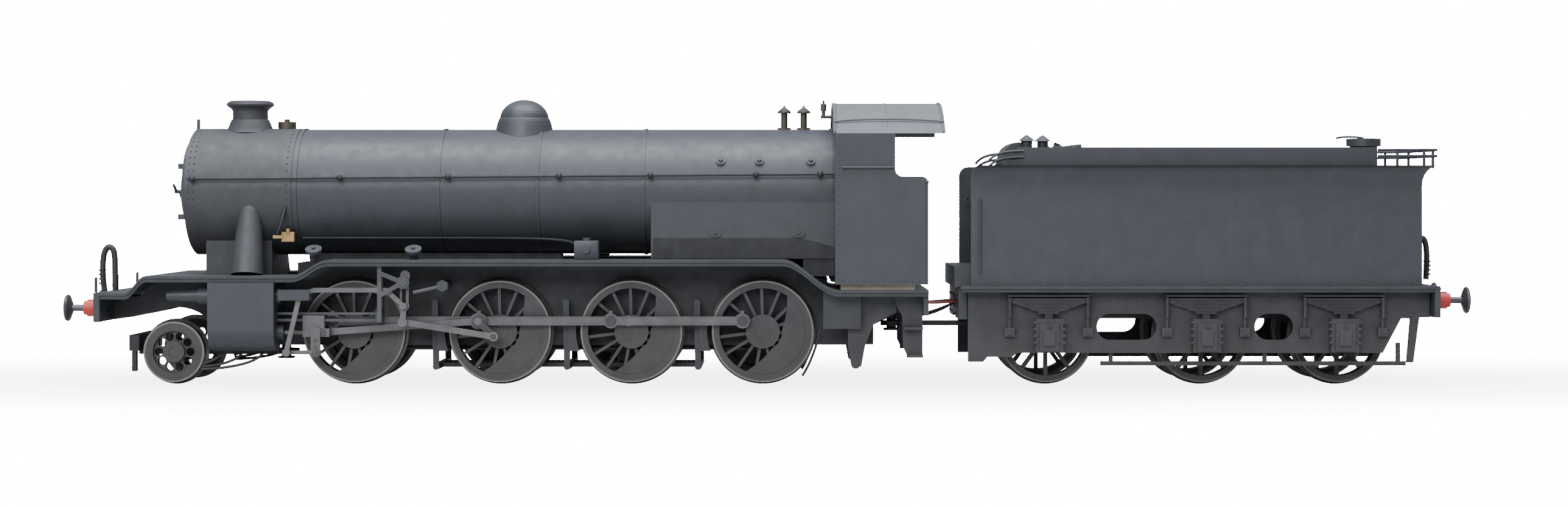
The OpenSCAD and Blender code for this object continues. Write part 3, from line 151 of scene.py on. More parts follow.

# ---- Painted and metal finishes of the CAD nodes ----
# Weathered matt paint on the body, near-black frames and oily steel motion. Each
# finish mottles its colour, roughens unevenly and makes upward faces paler and bluer,
# partly dust and partly a painted highlight of the light from above.


def finish(name, color, rough, metal=0.0, mottle=0.18, scale=260, dust_and_highlight=0.0,
           dust_and_highlight_color=(0.1, 0.105, 0.115), bump=0.15, streak=0.0, grime=0.0):
    """A procedural finish in object coordinates, in metres."""
    m = bpy.data.materials.new(name)
    m.use_nodes = True
    t = m.node_tree
    b = t.nodes["Principled BSDF"]
    b.inputs["Metallic"].default_value = metal
    place = t.nodes.new("ShaderNodeTexCoord")

    def noise(size, detail, stretch=None):
        n = t.nodes.new("ShaderNodeTexNoise")
        n.inputs["Scale"].default_value = size
        n.inputs["Detail"].default_value = detail
        if stretch:
            v = t.nodes.new("ShaderNodeVectorMath")
            v.operation = "MULTIPLY"
            v.inputs[1].default_value = stretch
            t.links.new(place.outputs["Object"], v.inputs[0])
            t.links.new(v.outputs[0], n.inputs["Vector"])
        else:
            t.links.new(place.outputs["Object"], n.inputs["Vector"])
        return n.outputs["Fac"]

    def ranged(value, a, c, lo, hi):
        n = t.nodes.new("ShaderNodeMapRange")
        n.inputs["From Min"].default_value = a
        n.inputs["From Max"].default_value = c
        n.inputs["To Min"].default_value = lo
        n.inputs["To Max"].default_value = hi
        t.links.new(value, n.inputs["Value"])
        return n.outputs["Result"]

    def mix(fac, one, two):
        n = t.nodes.new("ShaderNodeMix")
        n.data_type = "RGBA"
        t.links.new(fac, n.inputs[0])
        for s, v in ((n.inputs[6], one), (n.inputs[7], two)):
            if isinstance(v, tuple):
                s.default_value = (*v, 1)
            else:
                t.links.new(v, s)
        return n.outputs[2]

    dark = tuple(c * (1 - mottle) for c in color)
    light = tuple(min(1, c * (1 + mottle)) for c in color)
    out = mix(ranged(noise(scale, 5), 0.35, 0.65, 0, 1), dark, light)
    speck = ranged(noise(scale * 9, 2), 0.62, 0.7, 0, 0.5)
    out = mix(speck, out, tuple(c * (1 - 1.6 * mottle) for c in color))
    if streak:
        down = ranged(noise(scale * 2.2, 3, (1, 1, 0.12)), 0.5, 0.72, 0, streak)
        out = mix(down, out, tuple(min(1, c * 1.5 + 0.01) for c in color))
    if grime:
        sep = t.nodes.new("ShaderNodeSeparateXYZ")
        t.links.new(place.outputs["Object"], sep.inputs[0])
        low = ranged(sep.outputs["Z"], 0.004, 0.022, grime, 0)
        out = mix(low, out, (0.045, 0.037, 0.028))
    # Upward faces turn towards a paler, bluer colour: part dust, part painted highlight where the
    # overhead light falls.
    if dust_and_highlight:
        sep = t.nodes.new("ShaderNodeSeparateXYZ")
        t.links.new(place.outputs["Normal"], sep.inputs[0])
        up = ranged(sep.outputs["Z"], 0.1, 0.95, 0, dust_and_highlight)
        dust_and_highlight_mask = t.nodes.new("ShaderNodeMath")
        dust_and_highlight_mask.operation = "MULTIPLY"
        t.links.new(up, dust_and_highlight_mask.inputs[0])
        t.links.new(ranged(noise(scale * 0.7, 4), 0.25, 0.7, 0.55, 1), dust_and_highlight_mask.inputs[1])
        out = mix(dust_and_highlight_mask.outputs[0], out, dust_and_highlight_color)
    t.links.new(out, b.inputs["Base Color"])
    t.links.new(ranged(noise(scale * 1.7, 4), 0.3, 0.7, rough - 0.08, min(1, rough + 0.08)),
                b.inputs["Roughness"])
    lump = t.nodes.new("ShaderNodeBump")
    lump.inputs["Strength"].default_value = bump
    lump.inputs["Distance"].default_value = 0.00012
    t.links.new(noise(scale * 6, 3), lump.inputs["Height"])
    t.links.new(lump.outputs[0], b.inputs["Normal"])
    return m


# The paler colour on upward faces below is part dust, part painted highlight from the overhead
# light.
M = {
    "body": finish("body_paint", (0.027, 0.0285, 0.033), 0.5, dust_and_highlight=0.4, streak=0.08, mottle=0.09,
                   dust_and_highlight_color=(0.073, 0.079, 0.096)),
    "smokebox": finish("smokebox_paint", (0.031, 0.0315, 0.035), 0.6, dust_and_highlight=0.4, mottle=0.1,
                       dust_and_highlight_color=(0.068, 0.071, 0.078)),
    "roof": finish("roof_paint", (0.075, 0.078, 0.086), 0.65, dust_and_highlight=0.6,
                   dust_and_highlight_color=(0.16, 0.167, 0.18), mottle=0.12),
    "plate": finish("plate_paint", (0.024, 0.0255, 0.029), 0.55, dust_and_highlight=0.35, grime=0.25,
                    dust_and_highlight_color=(0.06, 0.064, 0.072)),
    "frame": finish("frame_paint", (0.011, 0.012, 0.0145), 0.6, grime=0.2),
    "tframe": finish("tender_frame_paint", (0.024, 0.025, 0.028), 0.62, dust_and_highlight=0.5, grime=0.3,
                     dust_and_highlight_color=(0.08, 0.085, 0.092)),
    "rod": finish("oily_steel", (0.105, 0.102, 0.1), 0.42, metal=0.35, mottle=0.2),
    "bar": finish("bar_steel", (0.06, 0.06, 0.061), 0.46, metal=0.3, mottle=0.2),
    "head": finish("buffer_steel", (0.075, 0.075, 0.078), 0.4, metal=0.6),
    "red": finish("shank_red", (0.42, 0.028, 0.022), 0.48, mottle=0.12),
    "bronze": finish("bronze", (0.06, 0.05, 0.037), 0.45, metal=0.5, mottle=0.25),
    "cream": finish("cream", (0.42, 0.36, 0.27), 0.6, mottle=0.1),
    "can": finish("motor_can", (0.32, 0.32, 0.33), 0.35, metal=0.9, mottle=0.08),
    "brass": finish("brass", (0.55, 0.38, 0.14), 0.35, metal=0.9, mottle=0.12),
    "ochre": finish("ochre", (0.36, 0.22, 0.085), 0.5, metal=0.3, mottle=0.15),
    # Near-black: the backhead's paint and the painted shade on the firebox's foot; also the dark
    # fillers.
    "dark": finish("black_paint_and_painted_shade", (0.012, 0.012, 0.014), 0.7),
    "coal": finish("coal", (0.011, 0.011, 0.012), 0.32, mottle=0.4, scale=700, bump=0.6),
    "glass": finish("pane", (0.25, 0.27, 0.28), 0.1, mottle=0.08, bump=0.03),
}


def wheel_finish(name, x, z, r, base, tyre):
    """Painted wheel whose tyre is worn bright from radius r outwards."""
    m = finish(name, base, 0.5, metal=0.15, mottle=0.2, grime=0.3)
    t = m.node_tree
    b = t.nodes["Principled BSDF"]
    before = b.inputs["Base Color"].links[0].from_socket
    place = t.nodes.new("ShaderNodeTexCoord")
    v = t.nodes.new("ShaderNodeVectorMath")
    v.operation = "SUBTRACT"
    v.inputs[1].default_value = (x, 0, z)
    flat = t.nodes.new("ShaderNodeVectorMath")
    flat.operation = "MULTIPLY"
    flat.inputs[1].default_value = (1, 0, 1)
    far = t.nodes.new("ShaderNodeVectorMath")
    far.operation = "LENGTH"
    t.links.new(place.outputs["Object"], v.inputs[0])
    t.links.new(v.outputs[0], flat.inputs[0])
    t.links.new(flat.outputs[0], far.inputs[0])
    rng = t.nodes.new("ShaderNodeMapRange")
    rng.inputs["From Min"].default_value = r - 0.0002
    rng.inputs["From Max"].default_value = r + 0.0001
    t.links.new(far.outputs["Value"], rng.inputs["Value"])
    n = t.nodes.new("ShaderNodeMix")
    n.data_type = "RGBA"
    n.inputs[7].default_value = (*tyre, 1)
    t.links.new(rng.outputs["Result"], n.inputs[0])
    t.links.new(before, n.inputs[6])
    t.links.new(n.outputs[2], b.inputs["Base Color"])
    t.links.new(rng.outputs["Result"], b.inputs["Metallic"])
    return m


def give(material, *nodes):
    for n in nodes:
        o = frame["nodes"][n]
        if not o.material_slots:
            o.data.materials.append(material)
        for s in o.material_slots:
            s.material = material


give(M["body"], "boiler", "cab", "cylinders", "tender_tank", "dome")
give(M["smokebox"], "smokebox", "smokebox_door", "chimney", "steam_pipes")
give(M["roof"], "cab_roof")
give(M["plate"], "running_plate", "front_beam", "cab_steps", "tender_chassis", "brake_gear")
give(M["frame"], "chassis_block", "keeper_plate", "frame_plates", "pony_truck", "drawbar")
give(M["tframe"], "tender_frame_left", "tender_frame_right")
give(M["bar"], "slidebars", "motion_brackets")
give(M["bronze"], "safety_valves")
give(M["brass"], "worm_shaft")
give(M["cream"], "cab_floor")
give(M["can"], "motor")
give(M["coal"], "coal_load")
give(M["red"], "front_buffer_shanks", "tender_buffer_shanks")
for side in ("left", "right"):
    give(M["rod"], *[n + side for n in ("coupling_rod_", "connecting_rod_", "crosshead_",
         "combination_lever_", "union_link_", "eccentric_rod_", "expansion_link_",
         "radius_rod_")])
    give(M["head"], "buffer_front_" + side, "buffer_rear_" + side)


def middle(node):
    lo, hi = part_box(node)
    return [(a + b) / 2 for a, b in zip(lo, hi)]


# Height of the coupled axles and of the cylinders' centre line, in mm.
DRIVE_Z = 9.65
drive_x = [j["pos_m"][0] for n in ("first_axle", "main_axle", "third_axle", "last_axle")
           for j in frame["joints"] if j["name"] == n]
for i in range(4):
    give(wheel_finish("driver_%d" % (i + 1), drive_x[i], DRIVE_Z * MM, 9.0 * MM,
                      (0.031, 0.031, 0.032), (0.2, 0.192, 0.175)), "wheelset_%d" % (i + 1))
pony_x, _, pony_z = middle("pony_wheelset")
give(wheel_finish("pony", pony_x, pony_z, 5.25 * MM, (0.036, 0.035, 0.034),
                  (0.21, 0.2, 0.185)), "pony_wheelset")
tender_x = []
for i in range(3):
    x, _, z = middle("tender_wheelset_%d" % (i + 1))
    tender_x.append(x / MM)
    give(wheel_finish("tender_%d" % (i + 1), x, z, 8.15 * MM, (0.02, 0.02, 0.021),
                      (0.15, 0.145, 0.135)), "tender_wheelset_%d" % (i + 1))

# ---- Boiler bands ----
# Thin flat straps round the cladding. Each is a short open tube given thickness;
# over the firebox only its upper half is kept.

# Height of the boiler's centre line and its radius, in mm.
RZ = 35.0
RB = 11.5


def pick(*parts):
    """Selects these objects only, the first one active."""
    bpy.ops.object.select_all(action="DESELECT")
    for p in parts:
        p.select_set(True)
    bpy.context.view_layer.objects.active = parts[0]


def done(o, name, material, body):
    """Applies place and turn, names the piece and lets it ride."""
    pick(o)
    bpy.ops.object.transform_apply(location=True, rotation=True, scale=True)
    o.name = name
    o.data.name = name
    o.data.materials.clear()
    o.data.materials.append(material)
    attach(o, body)
    return o


def apply_all(o):
    pick(o)
    for m in list(o.modifiers):
        bpy.ops.object.modifier_apply(modifier=m.name)


def cyl(place, r, length, axis="Z", n=24, ends="NGON"):
    """A cylinder centred at place, in mm, along an axis or a direction."""
    turn = {"X": (0, math.pi / 2, 0), "Y": (math.pi / 2, 0, 0), "Z": (0, 0, 0)}
    rot = turn[axis] if isinstance(axis, str) else Vector(axis).to_track_quat("Z", "Y").to_euler()
    bpy.ops.mesh.primitive_cylinder_add(vertices=n, radius=r * MM, depth=length * MM,
                                        end_fill_type=ends, rotation=rot,
                                        location=[v * MM for v in place])
    return bpy.context.object


def bar(lo, hi, bevel=0.0):
    """A box between two corners in mm, with softened edges."""
    bpy.ops.mesh.primitive_cube_add(size=1, location=[(a + b) / 2 * MM for a, b in zip(lo, hi)])
    o = bpy.context.object
    o.scale = [abs(b - a) * MM for a, b in zip(lo, hi)]
    bpy.ops.object.transform_apply(location=True, rotation=True, scale=True)
    if bevel:
        m = o.modifiers.new("bevel", "BEVEL")
        m.width = bevel * MM
        m.segments = 2
        apply_all(o)
    return o


def ball(place, r, n=12):
    bpy.ops.mesh.primitive_uv_sphere_add(segments=n, ring_count=max(4, n // 2), radius=r * MM,
                                         location=[v * MM for v in place])
    return bpy.context.object


def smooth(o, angle=40):
    pick(o)
    bpy.ops.object.shade_smooth_by_angle(angle=math.radians(angle))
    return o


def join(parts):
    """One object out of several."""
    pick(*parts)
    bpy.ops.object.transform_apply(location=True, rotation=True, scale=True)
    if len(parts) > 1:
        bpy.ops.object.join()
    return bpy.context.object


def tube(points, r, n=4, smooth_path=True):
    """A round pipe along points in mm, from a path curve turned to a mesh."""
    bpy.ops.curve.primitive_nurbs_path_add(location=(0, 0, 0))
    o = bpy.context.object
    c = o.data
    c.splines.clear()
    s = c.splines.new("NURBS" if smooth_path else "POLY")
    s.points.add(len(points) - 1)
    for q, p in zip(s.points, points):
        q.co = (p[0] * MM, p[1] * MM, p[2] * MM, 1)
    if smooth_path:
        s.order_u = min(4, len(points))
        s.use_endpoint_u = True
        s.resolution_u = 8
    c.bevel_depth = r * MM
    c.bevel_resolution = n
    c.use_fill_caps = True
    bpy.ops.object.convert(target="MESH")
    return smooth(bpy.context.object, 60)


bands = []
for x in (-85.3, -59.4, -41.5, -22.4, 11.6):
    o = cyl((x, 0, RZ), RB + 0.07, 0.55, "X", 96, "NOTHING")
    bpy.ops.object.transform_apply(location=True, rotation=True, scale=True)
    if x > -22:
        bpy.ops.object.mode_set(mode="EDIT")
        bpy.ops.mesh.select_all(action="SELECT")
        bpy.ops.mesh.bisect(plane_co=(0, 0, RZ * MM), plane_no=(0, 0, 1), clear_inner=True)
        bpy.ops.object.mode_set(mode="OBJECT")
    m = o.modifiers.new("thick", "SOLIDIFY")
    m.thickness = 0.1 * MM
    m.offset = 1
    apply_all(o)
    bands.append(o)
done(smooth(join(bands)), "boiler_bands", M["body"], "engine")

# ---- Handrails ----
# Wire rails along both sides of the boiler on turned knobs, joined by a curved
# rail over the smokebox door; a short one and an upright one on each cab side.

# The long rails' side offset, front end, length and rise to the cab, in mm.
RAIL_Y = 12.5
RAIL_X = -104.6
RAIL_Z = 37.3
RAIL_LENGTH = 116.7
RAIL_RISE = 0.9
CAB_RAIL_Z = 39.3
UPRIGHT_X = 28.55


def over_door(a):
    """Side and height of the curved rail at angle a of its half round."""
    return 9.6 * math.cos(a), RZ + 2.2 + 7.4 * math.sin(a)


for s, side in ((-1, "left"), (1, "right")):
    rail = [tube([(RAIL_X, s * RAIL_Y, RAIL_Z),
                  (RAIL_X + RAIL_LENGTH, s * RAIL_Y, RAIL_Z + RAIL_RISE)], 0.27, 3, False)]
    for x in (-103.6, -77.0, -57.5, -37.5, -21.0, -2.0, 9.6):
        z = RAIL_Z + (x - RAIL_X) / RAIL_LENGTH * RAIL_RISE
        rail.append(smooth(ball((x, s * RAIL_Y, z), 0.62, 12)))
        inner = math.sqrt(RB * RB - (z - RZ) ** 2) - 0.1
        rail.append(cyl((x, s * (inner + 12.3) / 2, z), 0.24, 12.3 - inner, "Y", 10))
    done(join(rail), "handrail_" + side, M["frame"], "engine")
    y = s * 17.35
    rail = [tube([(13.4, y, CAB_RAIL_Z), (22.6, y, CAB_RAIL_Z)], 0.22, 3, False)]
    for x in (13.6, 22.4):
        rail.append(cyl((x, s * 17.15, CAB_RAIL_Z), 0.2, 0.5, "Y", 10))
    y = s * 16.9
    rail.append(tube([(UPRIGHT_X, y, 18.6), (UPRIGHT_X, y, 36.6)], 0.24, 3, False))
    rail.append(smooth(ball((UPRIGHT_X, y, 36.7), 0.4, 10)))
    done(join(rail), "cab_rails_" + side, M["plate"], "engine")
over = [tube([(-105.9, *over_door(math.pi * k / 12)) for k in range(13)], 0.25, 3)]
for a in (0.15, 0.5, 0.85):
    over.append(cyl((-105.6, *over_door(math.pi * a)), 0.2, 0.9, "X", 8))
done(join(over), "door_rail", M["plate"], "engine")

# ---- Rivets and roof ribs ----
# Small round heads in rows on the smokebox, the cab, the roof and the tender's
# front plate, each group one joined piece; ribs across and along the roof.

# Rivets sit on the smokebox's skin and the cab's sides; the roof is an arc.
SKIN_R = 11.66
CAB_Y = 17.02
ROOF_HALF = 17.0
ROOF_RISE = 5.9
ROOF_TOP = 51.3


def rivets(name, places, r, material, body):
    parts = []
    for p in places:
        bpy.ops.mesh.primitive_uv_sphere_add(segments=6, ring_count=4, radius=r * MM,
                                             location=[v * MM for v in p])
        parts.append(bpy.context.object)
    return done(smooth(join(parts), 80), name, material, body)


ring = []
for x in (-104.6, -103.7, -86.9):
    for k in range(56):
        a = 2 * math.pi * k / 56
        if -0.72 < math.sin(a) <= 0.97:
            ring.append((x, SKIN_R * math.cos(a), RZ + SKIN_R * math.sin(a)))
rivets("smokebox_rivets", ring, 0.16, M["smokebox"], "engine")
for s, side in ((-1, "left"), (1, "right")):
    row = [(12.75, s * CAB_Y, 19.3 + 1.25 * k) for k in range(21)]
    row += [(13.5 + 1.25 * k, s * CAB_Y, 19.1) for k in range(12)]
    rivets("cab_rivets_" + side, row, 0.13, M["body"], "engine")
    row = [(34.5, s * y, z) for y in (11.6, 9.2, 6.8, 4.4) for z in (12.8, 14.4, 16.0)]
    rivets("drag_rivets_" + side, row, 0.22, M["plate"], "tender")
rr = (ROOF_HALF ** 2 + ROOF_RISE ** 2) / (2 * ROOF_RISE)


def on_roof(x, a, lift=0.0):
    """A point on the roof's arc at a degrees from its top, lifted off it."""
    a = math.radians(a)
    r = rr + lift
    return x, r * math.sin(a), ROOF_TOP - rr + r * math.cos(a)


roof = [on_roof(x, k * 3.1) for x in (12.6, 21.6, 31.2) for k in range(-11, 12)]
rivets("roof_rivets", roof, 0.13, M["roof"], "engine")
ribs = [tube([on_roof(x, k * 3.15, 0.05) for k in range(-12, 13)], 0.2, 2)
        for x in (12.2, 31.55)]
for s in (-1, 1):
    ribs.append(tube([(12.0, s * 14.4, 47.6), (17, s * 13.6, 48.2), (26, s * 13.6, 48.2),
                      (31.8, s * 14.4, 47.6)], 0.16, 2))
done(join(ribs), "roof_ribs", M["roof"], "engine")

# ---- Washout plugs, filler caps and lubricator ----
# Turned plugs with square heads on the firebox, tilted sandbox filler caps and a
# lubricator box along the running plate.

# Height of the washout plugs above the boiler's centre line, in mm.
PLUG_UP = 5.5

for s, side in ((-1, "left"), (1, "right")):
    parts = []
    for x in (-8.4, -1.4, 7.9):
        y = s * math.sqrt(RB * RB - PLUG_UP ** 2)
        d = (0, y, PLUG_UP)
        parts.append(cyl((x, y * 1.01, RZ + PLUG_UP + 0.05), 0.85, 0.5, d, 20))
        parts.append(cyl((x, y * 1.04, RZ + PLUG_UP + 0.25), 0.4, 0.5, d, 4))
    for x in (-9.4, 5.6):
        o = cyl((x, s * 11.4, 27.6), 1.25, 0.45, "Y", 24)
        o.scale = (1, 0.72, 1)
        parts.append(o)
        parts.append(cyl((x, s * 11.75, 27.6), 0.35, 0.5, "Y", 6))
    for x in (-81.4, -63.5):
        tilt = (0, s * 0.5, 1)
        parts.append(cyl((x, s * 13.6, 23.4), 0.85, 2.4, tilt, 20))
        parts.append(cyl((x, s * 14.15, 24.5), 1.5, 0.6, tilt, 28))
        parts.append(cyl((x, s * 14.3, 24.85), 0.35, 0.5, tilt, 6))
    parts.append(bar((-34.6, s * 14.0 - 1.3, 22.8), (-30.2, s * 14.0 + 1.3, 26.2), 0.2))
    parts.append(cyl((-32.4, s * 14.0, 26.4), 0.8, 0.6, "Z", 20))
    parts.append(cyl((-32.4, s * 15.5, 24.6), 0.7, 0.6, "Y", 16))
    done(smooth(join(parts)), "plugs_and_caps_" + side, M["body"], "engine")

# ---- Painted shade on the firebox foot, dark fillers and smokebox fittings ----
# A near-black strip over the foot of the firebox on each side, painted shade where
# the flat side would catch the light, and dark blocks that close gaps under the
# boiler and the firebox; a small ochre fitting on each smokebox side.
for s, side in ((-1, "left"), (1, "right")):
    bpy.ops.mesh.primitive_plane_add(size=1)
    o = bpy.context.object
    edge = [(-20.6, 22.9), (12.1, 22.9), (12.1, 25.0), (6.0, 26.6), (-20.6, 26.6)]
    o.data.clear_geometry()
    o.data.from_pydata([(x * MM, s * 11.44 * MM, z * MM) for x, z in edge], [], [(0, 1, 2, 3, 4)])
    m = o.modifiers.new("thick", "SOLIDIFY")
    m.thickness = 0.12 * MM
    m.offset = 0
    apply_all(o)
    done(o, "firebox_foot_painted_shade_" + side, M["dark"], "engine")

done(bar((-84.0, -3.0, 21.8), (-38.0, 3.0, 23.7)), "boiler_underside", M["dark"], "engine")
done(bar((6.5, -11.2, 19.7), (12.15, 11.2, 23.0)), "firebox_base", M["dark"], "engine")
done(bar((-86.0, -5.0, 18.4), (-66.0, 5.0, 22.0)), "plate_backing", M["dark"], "engine")
for s, side in ((-1, "left"), (1, "right")):
    parts = [bar((-89.4, s * 10.4 - 0.5, 26.5), (-87.6, s * 10.4 + 0.5, 27.1), 0.08),
             bar((-87.9, s * 10.0 - 0.6, 25.9), (-85.6, s * 10.0 + 0.6, 27.7), 0.1),
             cyl((-86.7, s * 10.6, 27.9), 0.35, 0.8, "Z", 12)]
    done(join(parts), "anti_carbonizer_" + side, M["ochre"], "engine")

# ---- Pipes and lamp irons ----
# Bent pipes along the boiler's foot and at the smokebox, cylinder drains, sand
# pipes and the front vacuum pipe; round tops on the steam pipes; lamp irons.
for s, side in ((-1, "left"), (1, "right")):
    parts = [tube([(-84.5, s * 8.2, 26.6), (-82, s * 8.4, 26.6), (-60, s * 8.4, 26.6),
                   (-37, s * 8.4, 26.6), (-35, s * 10.4, 25.8), (-34.2, s * 12.9, 25.2)], 0.26)]
    for k, x in enumerate((-98.0, -94.4, -90.6)):
        parts.append(tube([(x, s * 12.2, 6.6), (x, s * (12.6 + 0.3 * k), 5.0),
                           (x - 3, s * (12.8 + 0.5 * k), 4.2 - 0.4 * k),
                           (-101.5, s * (12.9 + 0.6 * k), 3.9 - 0.4 * k)], 0.26, 2))
    parts.append(tube([(9.6, s * 12.6, 10.4), (9.0, s * 12.2, 7), (7.6, s * 9.6, 3.4),
                       (6.4, s * 9.0, 1.6)], 0.24, 2))
    parts.append(tube([(-88.4, s * 11.6, 27.5), (-87.6, s * 12.2, 29), (-87.2, s * 11.6, 31.5),
                       (-87.0, s * 10.9, 32.5)], 0.3, 2))
    done(join(parts), "pipes_" + side, M["frame"], "engine")
pipe_x = middle("steam_pipes")[0] / MM
pipe_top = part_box("steam_pipes")[1][2] / MM - 0.5
for s, side in ((-1, "left"), (1, "right")):
    done(smooth(ball((pipe_x, s * 9.84, pipe_top), 2.1, 32)), "steam_pipe_top_" + side,
         M["smokebox"], "engine")
parts = [tube([(-119.6, -4.2, 12.4), (-119.6, -4.2, 17), (-119.6, -4.2, 22.5),
               (-119.9, -4.2, 24.8), (-121.2, -4.2, 25.0), (-122.0, -4.2, 23.0),
               (-121.9, -4.2, 18.5), (-121.5, -4.2, 16.5)], 0.55)]
for z in (18.2, 19.0, 19.8, 20.6):
    parts.append(cyl((-121.95, -4.2, z), 0.68, 0.3, "Z", 14))
done(smooth(join(parts)), "vacuum_pipe", M["frame"], "engine")
parts = []
for y in (-14.6, 0, 14.6):
    parts.append(bar((-120.5, y - 0.5, 16.9), (-120.2, y + 0.5, 19.6)))
parts.append(bar((-105.5, -0.5, 45.4), (-105.1, 0.5, 48.4)))
done(join(parts), "lamp_irons", M["plate"], "engine")

# ---- Motion details ----
# Raised edge strips on the fluted rods, hexagonal nuts on the crankpins, bolts and
# a gudgeon cap on the crosshead, a cap on the link's trunnion and the lifting arm
# beside it. Steel, each riding with its own part.
for s, side in ((-1, "left"), (1, "right")):
    pin = next(j for j in frame["joints"] if j["name"] == "side_rod_pin_" + side)["pos_m"]
    z = pin[2] / MM
    dx = pin[0] / MM - drive_x[1] / MM
    near, far = sorted((s * 11.2, s * 11.32))
    parts = []
    for a, b in zip(drive_x[:-1], drive_x[1:]):
        for e in (0.68, -0.68):
            parts.append(bar((a / MM + dx + 1.7, near, z + e - 0.12),
                             (b / MM + dx - 1.7, far, z + e + 0.12)))
    done(join(parts), "rod_edges_" + side, M["rod"], "side_rod_" + side)
    for i in (0, 2, 3):
        o = cyl((drive_x[i] / MM + dx, s * 11.3, z), 0.62, 0.18, "Y", 6)
        done(o, "pin_nut_%d_%s" % (i + 1, side), M["rod"], "axle_%d" % (i + 1))
    o = cyl((drive_x[1] / MM + dx, s * 13.16, z), 0.75, 0.1, "Y", 6)
    done(o, "crank_nut_" + side, M["rod"], "axle_2")
    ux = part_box("union_link_" + side)[1][0] / MM - 0.65
    parts = [cyl((ux + 1, s * 14.2, DRIVE_Z), 0.75, 0.3, "Y", 24)]
    for bz in (8.3, 7.2):
        parts.append(cyl((ux, s * 14.78, bz), 0.28, 0.16, "Y", 6))
    done(join(parts), "crosshead_bolts_" + side, M["bar"], "slide_" + side)
    o = cyl((ux, s * 15.55, 6.2), 0.45, 0.12, "Y", 6)
    done(o, "union_nut_" + side, M["bar"], "slide_" + side)
    o = cyl((-65.1, s * 16.3, 18.75), 0.7, 0.22, "Y", 24)
    done(o, "trunnion_cap_" + side, M["bar"], "link_" + side)
    parts = [cyl((-58.2, s * 14.6, 18.1), 1.1, 0.8, "Y", 6),
             tube([(-58.2, s * 14.6, 18.1), (-60.8, s * 14.9, 17.5), (-63.4, s * 14.9, 16.9)],
                  0.4, 2, False),
             cyl((-58.2, s * 10.7, 18.1), 0.7, 8.0, "Y", 16)]
    done(smooth(join(parts)), "lifting_arm_" + side, M["bar"], "engine")

# ---- Cab inside ----
# A plain backhead with its fire door, gauges, handwheels and pipes, and panes in
# the front windows.
BACKHEAD_R = 9.9
parts = [bar((11.4, -BACKHEAD_R, 18.6), (12.9, BACKHEAD_R, RZ), 0.4),
         cyl((12.15, 0, RZ), BACKHEAD_R, 1.5, "X", 64),
         cyl((13.3, 0, 28.5), 2.6, 0.9, "X", 32)]
done(smooth(join(parts)), "backhead", M["dark"], "engine")
parts = [cyl((13.2, 4.5, 40.5), 1.1, 0.6, "X", 24), cyl((13.2, -4.5, 40.5), 1.1, 0.6, "X", 24),
         cyl((13.5, 7.2, 36.5), 0.9, 0.4, "X", 20), cyl((13.5, -7.2, 36.5), 0.9, 0.4, "X", 20),
         tube([(13.3, -4.5, 39.2), (13.5, -4.4, 33), (13.3, -6.5, 29)], 0.3, 2),
         tube([(13.3, 4.5, 39.2), (13.5, 4.4, 33), (13.3, 6.5, 29)], 0.3, 2),
         tube([(13.4, 0, 36), (14.4, 1.5, 38), (13.4, 3.5, 39)], 0.25, 2)]
done(join(parts), "backhead_fittings", M["brass"], "engine")
for s, side in ((-1, "left"), (1, "right")):
    near, far = sorted((s * 12.75, s * 14.75))
    o = bar((12.45, near, 37.8), (12.7, far, 42.6))
    done(o, "window_" + side, M["glass"], "engine")

# ---- Wires ----
# Four thin insulated leads from the engine's drag beam to the tender's front
# plate. Each is a round tube along its route.

# The routes' distances along X are counted from here, at the drag beam, in mm.
BEAM_X = 28.9
wires = [("wire_red", (0.20, 0.03, 0.02), -1.9,
          ((-1.5, 14.7), (1.5, 14.4), (3.5, 14.5), (6.8, 14.9))),
         ("wire_brown", (0.09, 0.035, 0.015), -1.35,
          ((-1.5, 14.5), (1.5, 14.8), (3.5, 14.9), (6.8, 15.2))),
         ("wire_black", (0.012, 0.012, 0.012), 1.35,
          ((-1.5, 12.2), (1.2, 12.4), (3.4, 13.4), (6.8, 14.9))),
         ("wire_dark", (0.05, 0.02, 0.015), 1.9,
          ((-1.5, 12.0), (1.8, 12.1), (3.9, 13.2), (6.8, 15.2)))]
for k, (name, color, y, route) in enumerate(wires):
    o = tube([(BEAM_X + a, y, z) for a, z in route], 0.24, 3)
    o.name = name
    o.data.materials.append(finish(name + "_skin", color, 0.4, mottle=0.1, scale=900))
    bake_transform(o)
    if k == 0:
        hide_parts("connecting_wires")

# ---- Tender rails ----
# Curved front rails and rear rails on posts, all of two bars, and an upright
# handrail at each front corner.
REAR_RAIL_Z = 41.4
FRONT_CORNER_X = 38.15
parts = []
for s in (-1, 1):
    for dz in (0, 1.1):
        parts.append(tube([(39.6, s * 14.6, 39.2 + dz), (40.6, s * 14.2, 40.7 + dz),
                           (42.6, s * 13.6, 41.2 + dz), (46.2, s * 13.2, 41.2 + dz)], 0.24, 2))
        z = REAR_RAIL_Z + dz
        parts.append(tube([(109.8, s * 13.4, z), (117.6, s * 14.8, z), (120.4, s * 14.4, z),
                           (120.9, s * 12.8, z), (120.9, 0, z)], 0.24, 2))
    for x, y in ((113.2, 14.0), (117.8, 14.75)):
        parts.append(cyl((x, s * y, 40.6), 0.26, 4.2, "Z", 10))
    parts.append(cyl((120.85, s * 9.0, 40.9), 0.26, 3.4, "Z", 10))
    parts.append(tube([(FRONT_CORNER_X, s * 15.75, 20.4), (FRONT_CORNER_X, s * 15.75, 33.7)],
                      0.22, 2, False))
    for z in (20.6, 33.5):
        parts.append(cyl((FRONT_CORNER_X, s * 15.55, z), 0.22, 0.6, "Y", 8))
done(join(parts), "tender_rails", M["plate"], "tender")

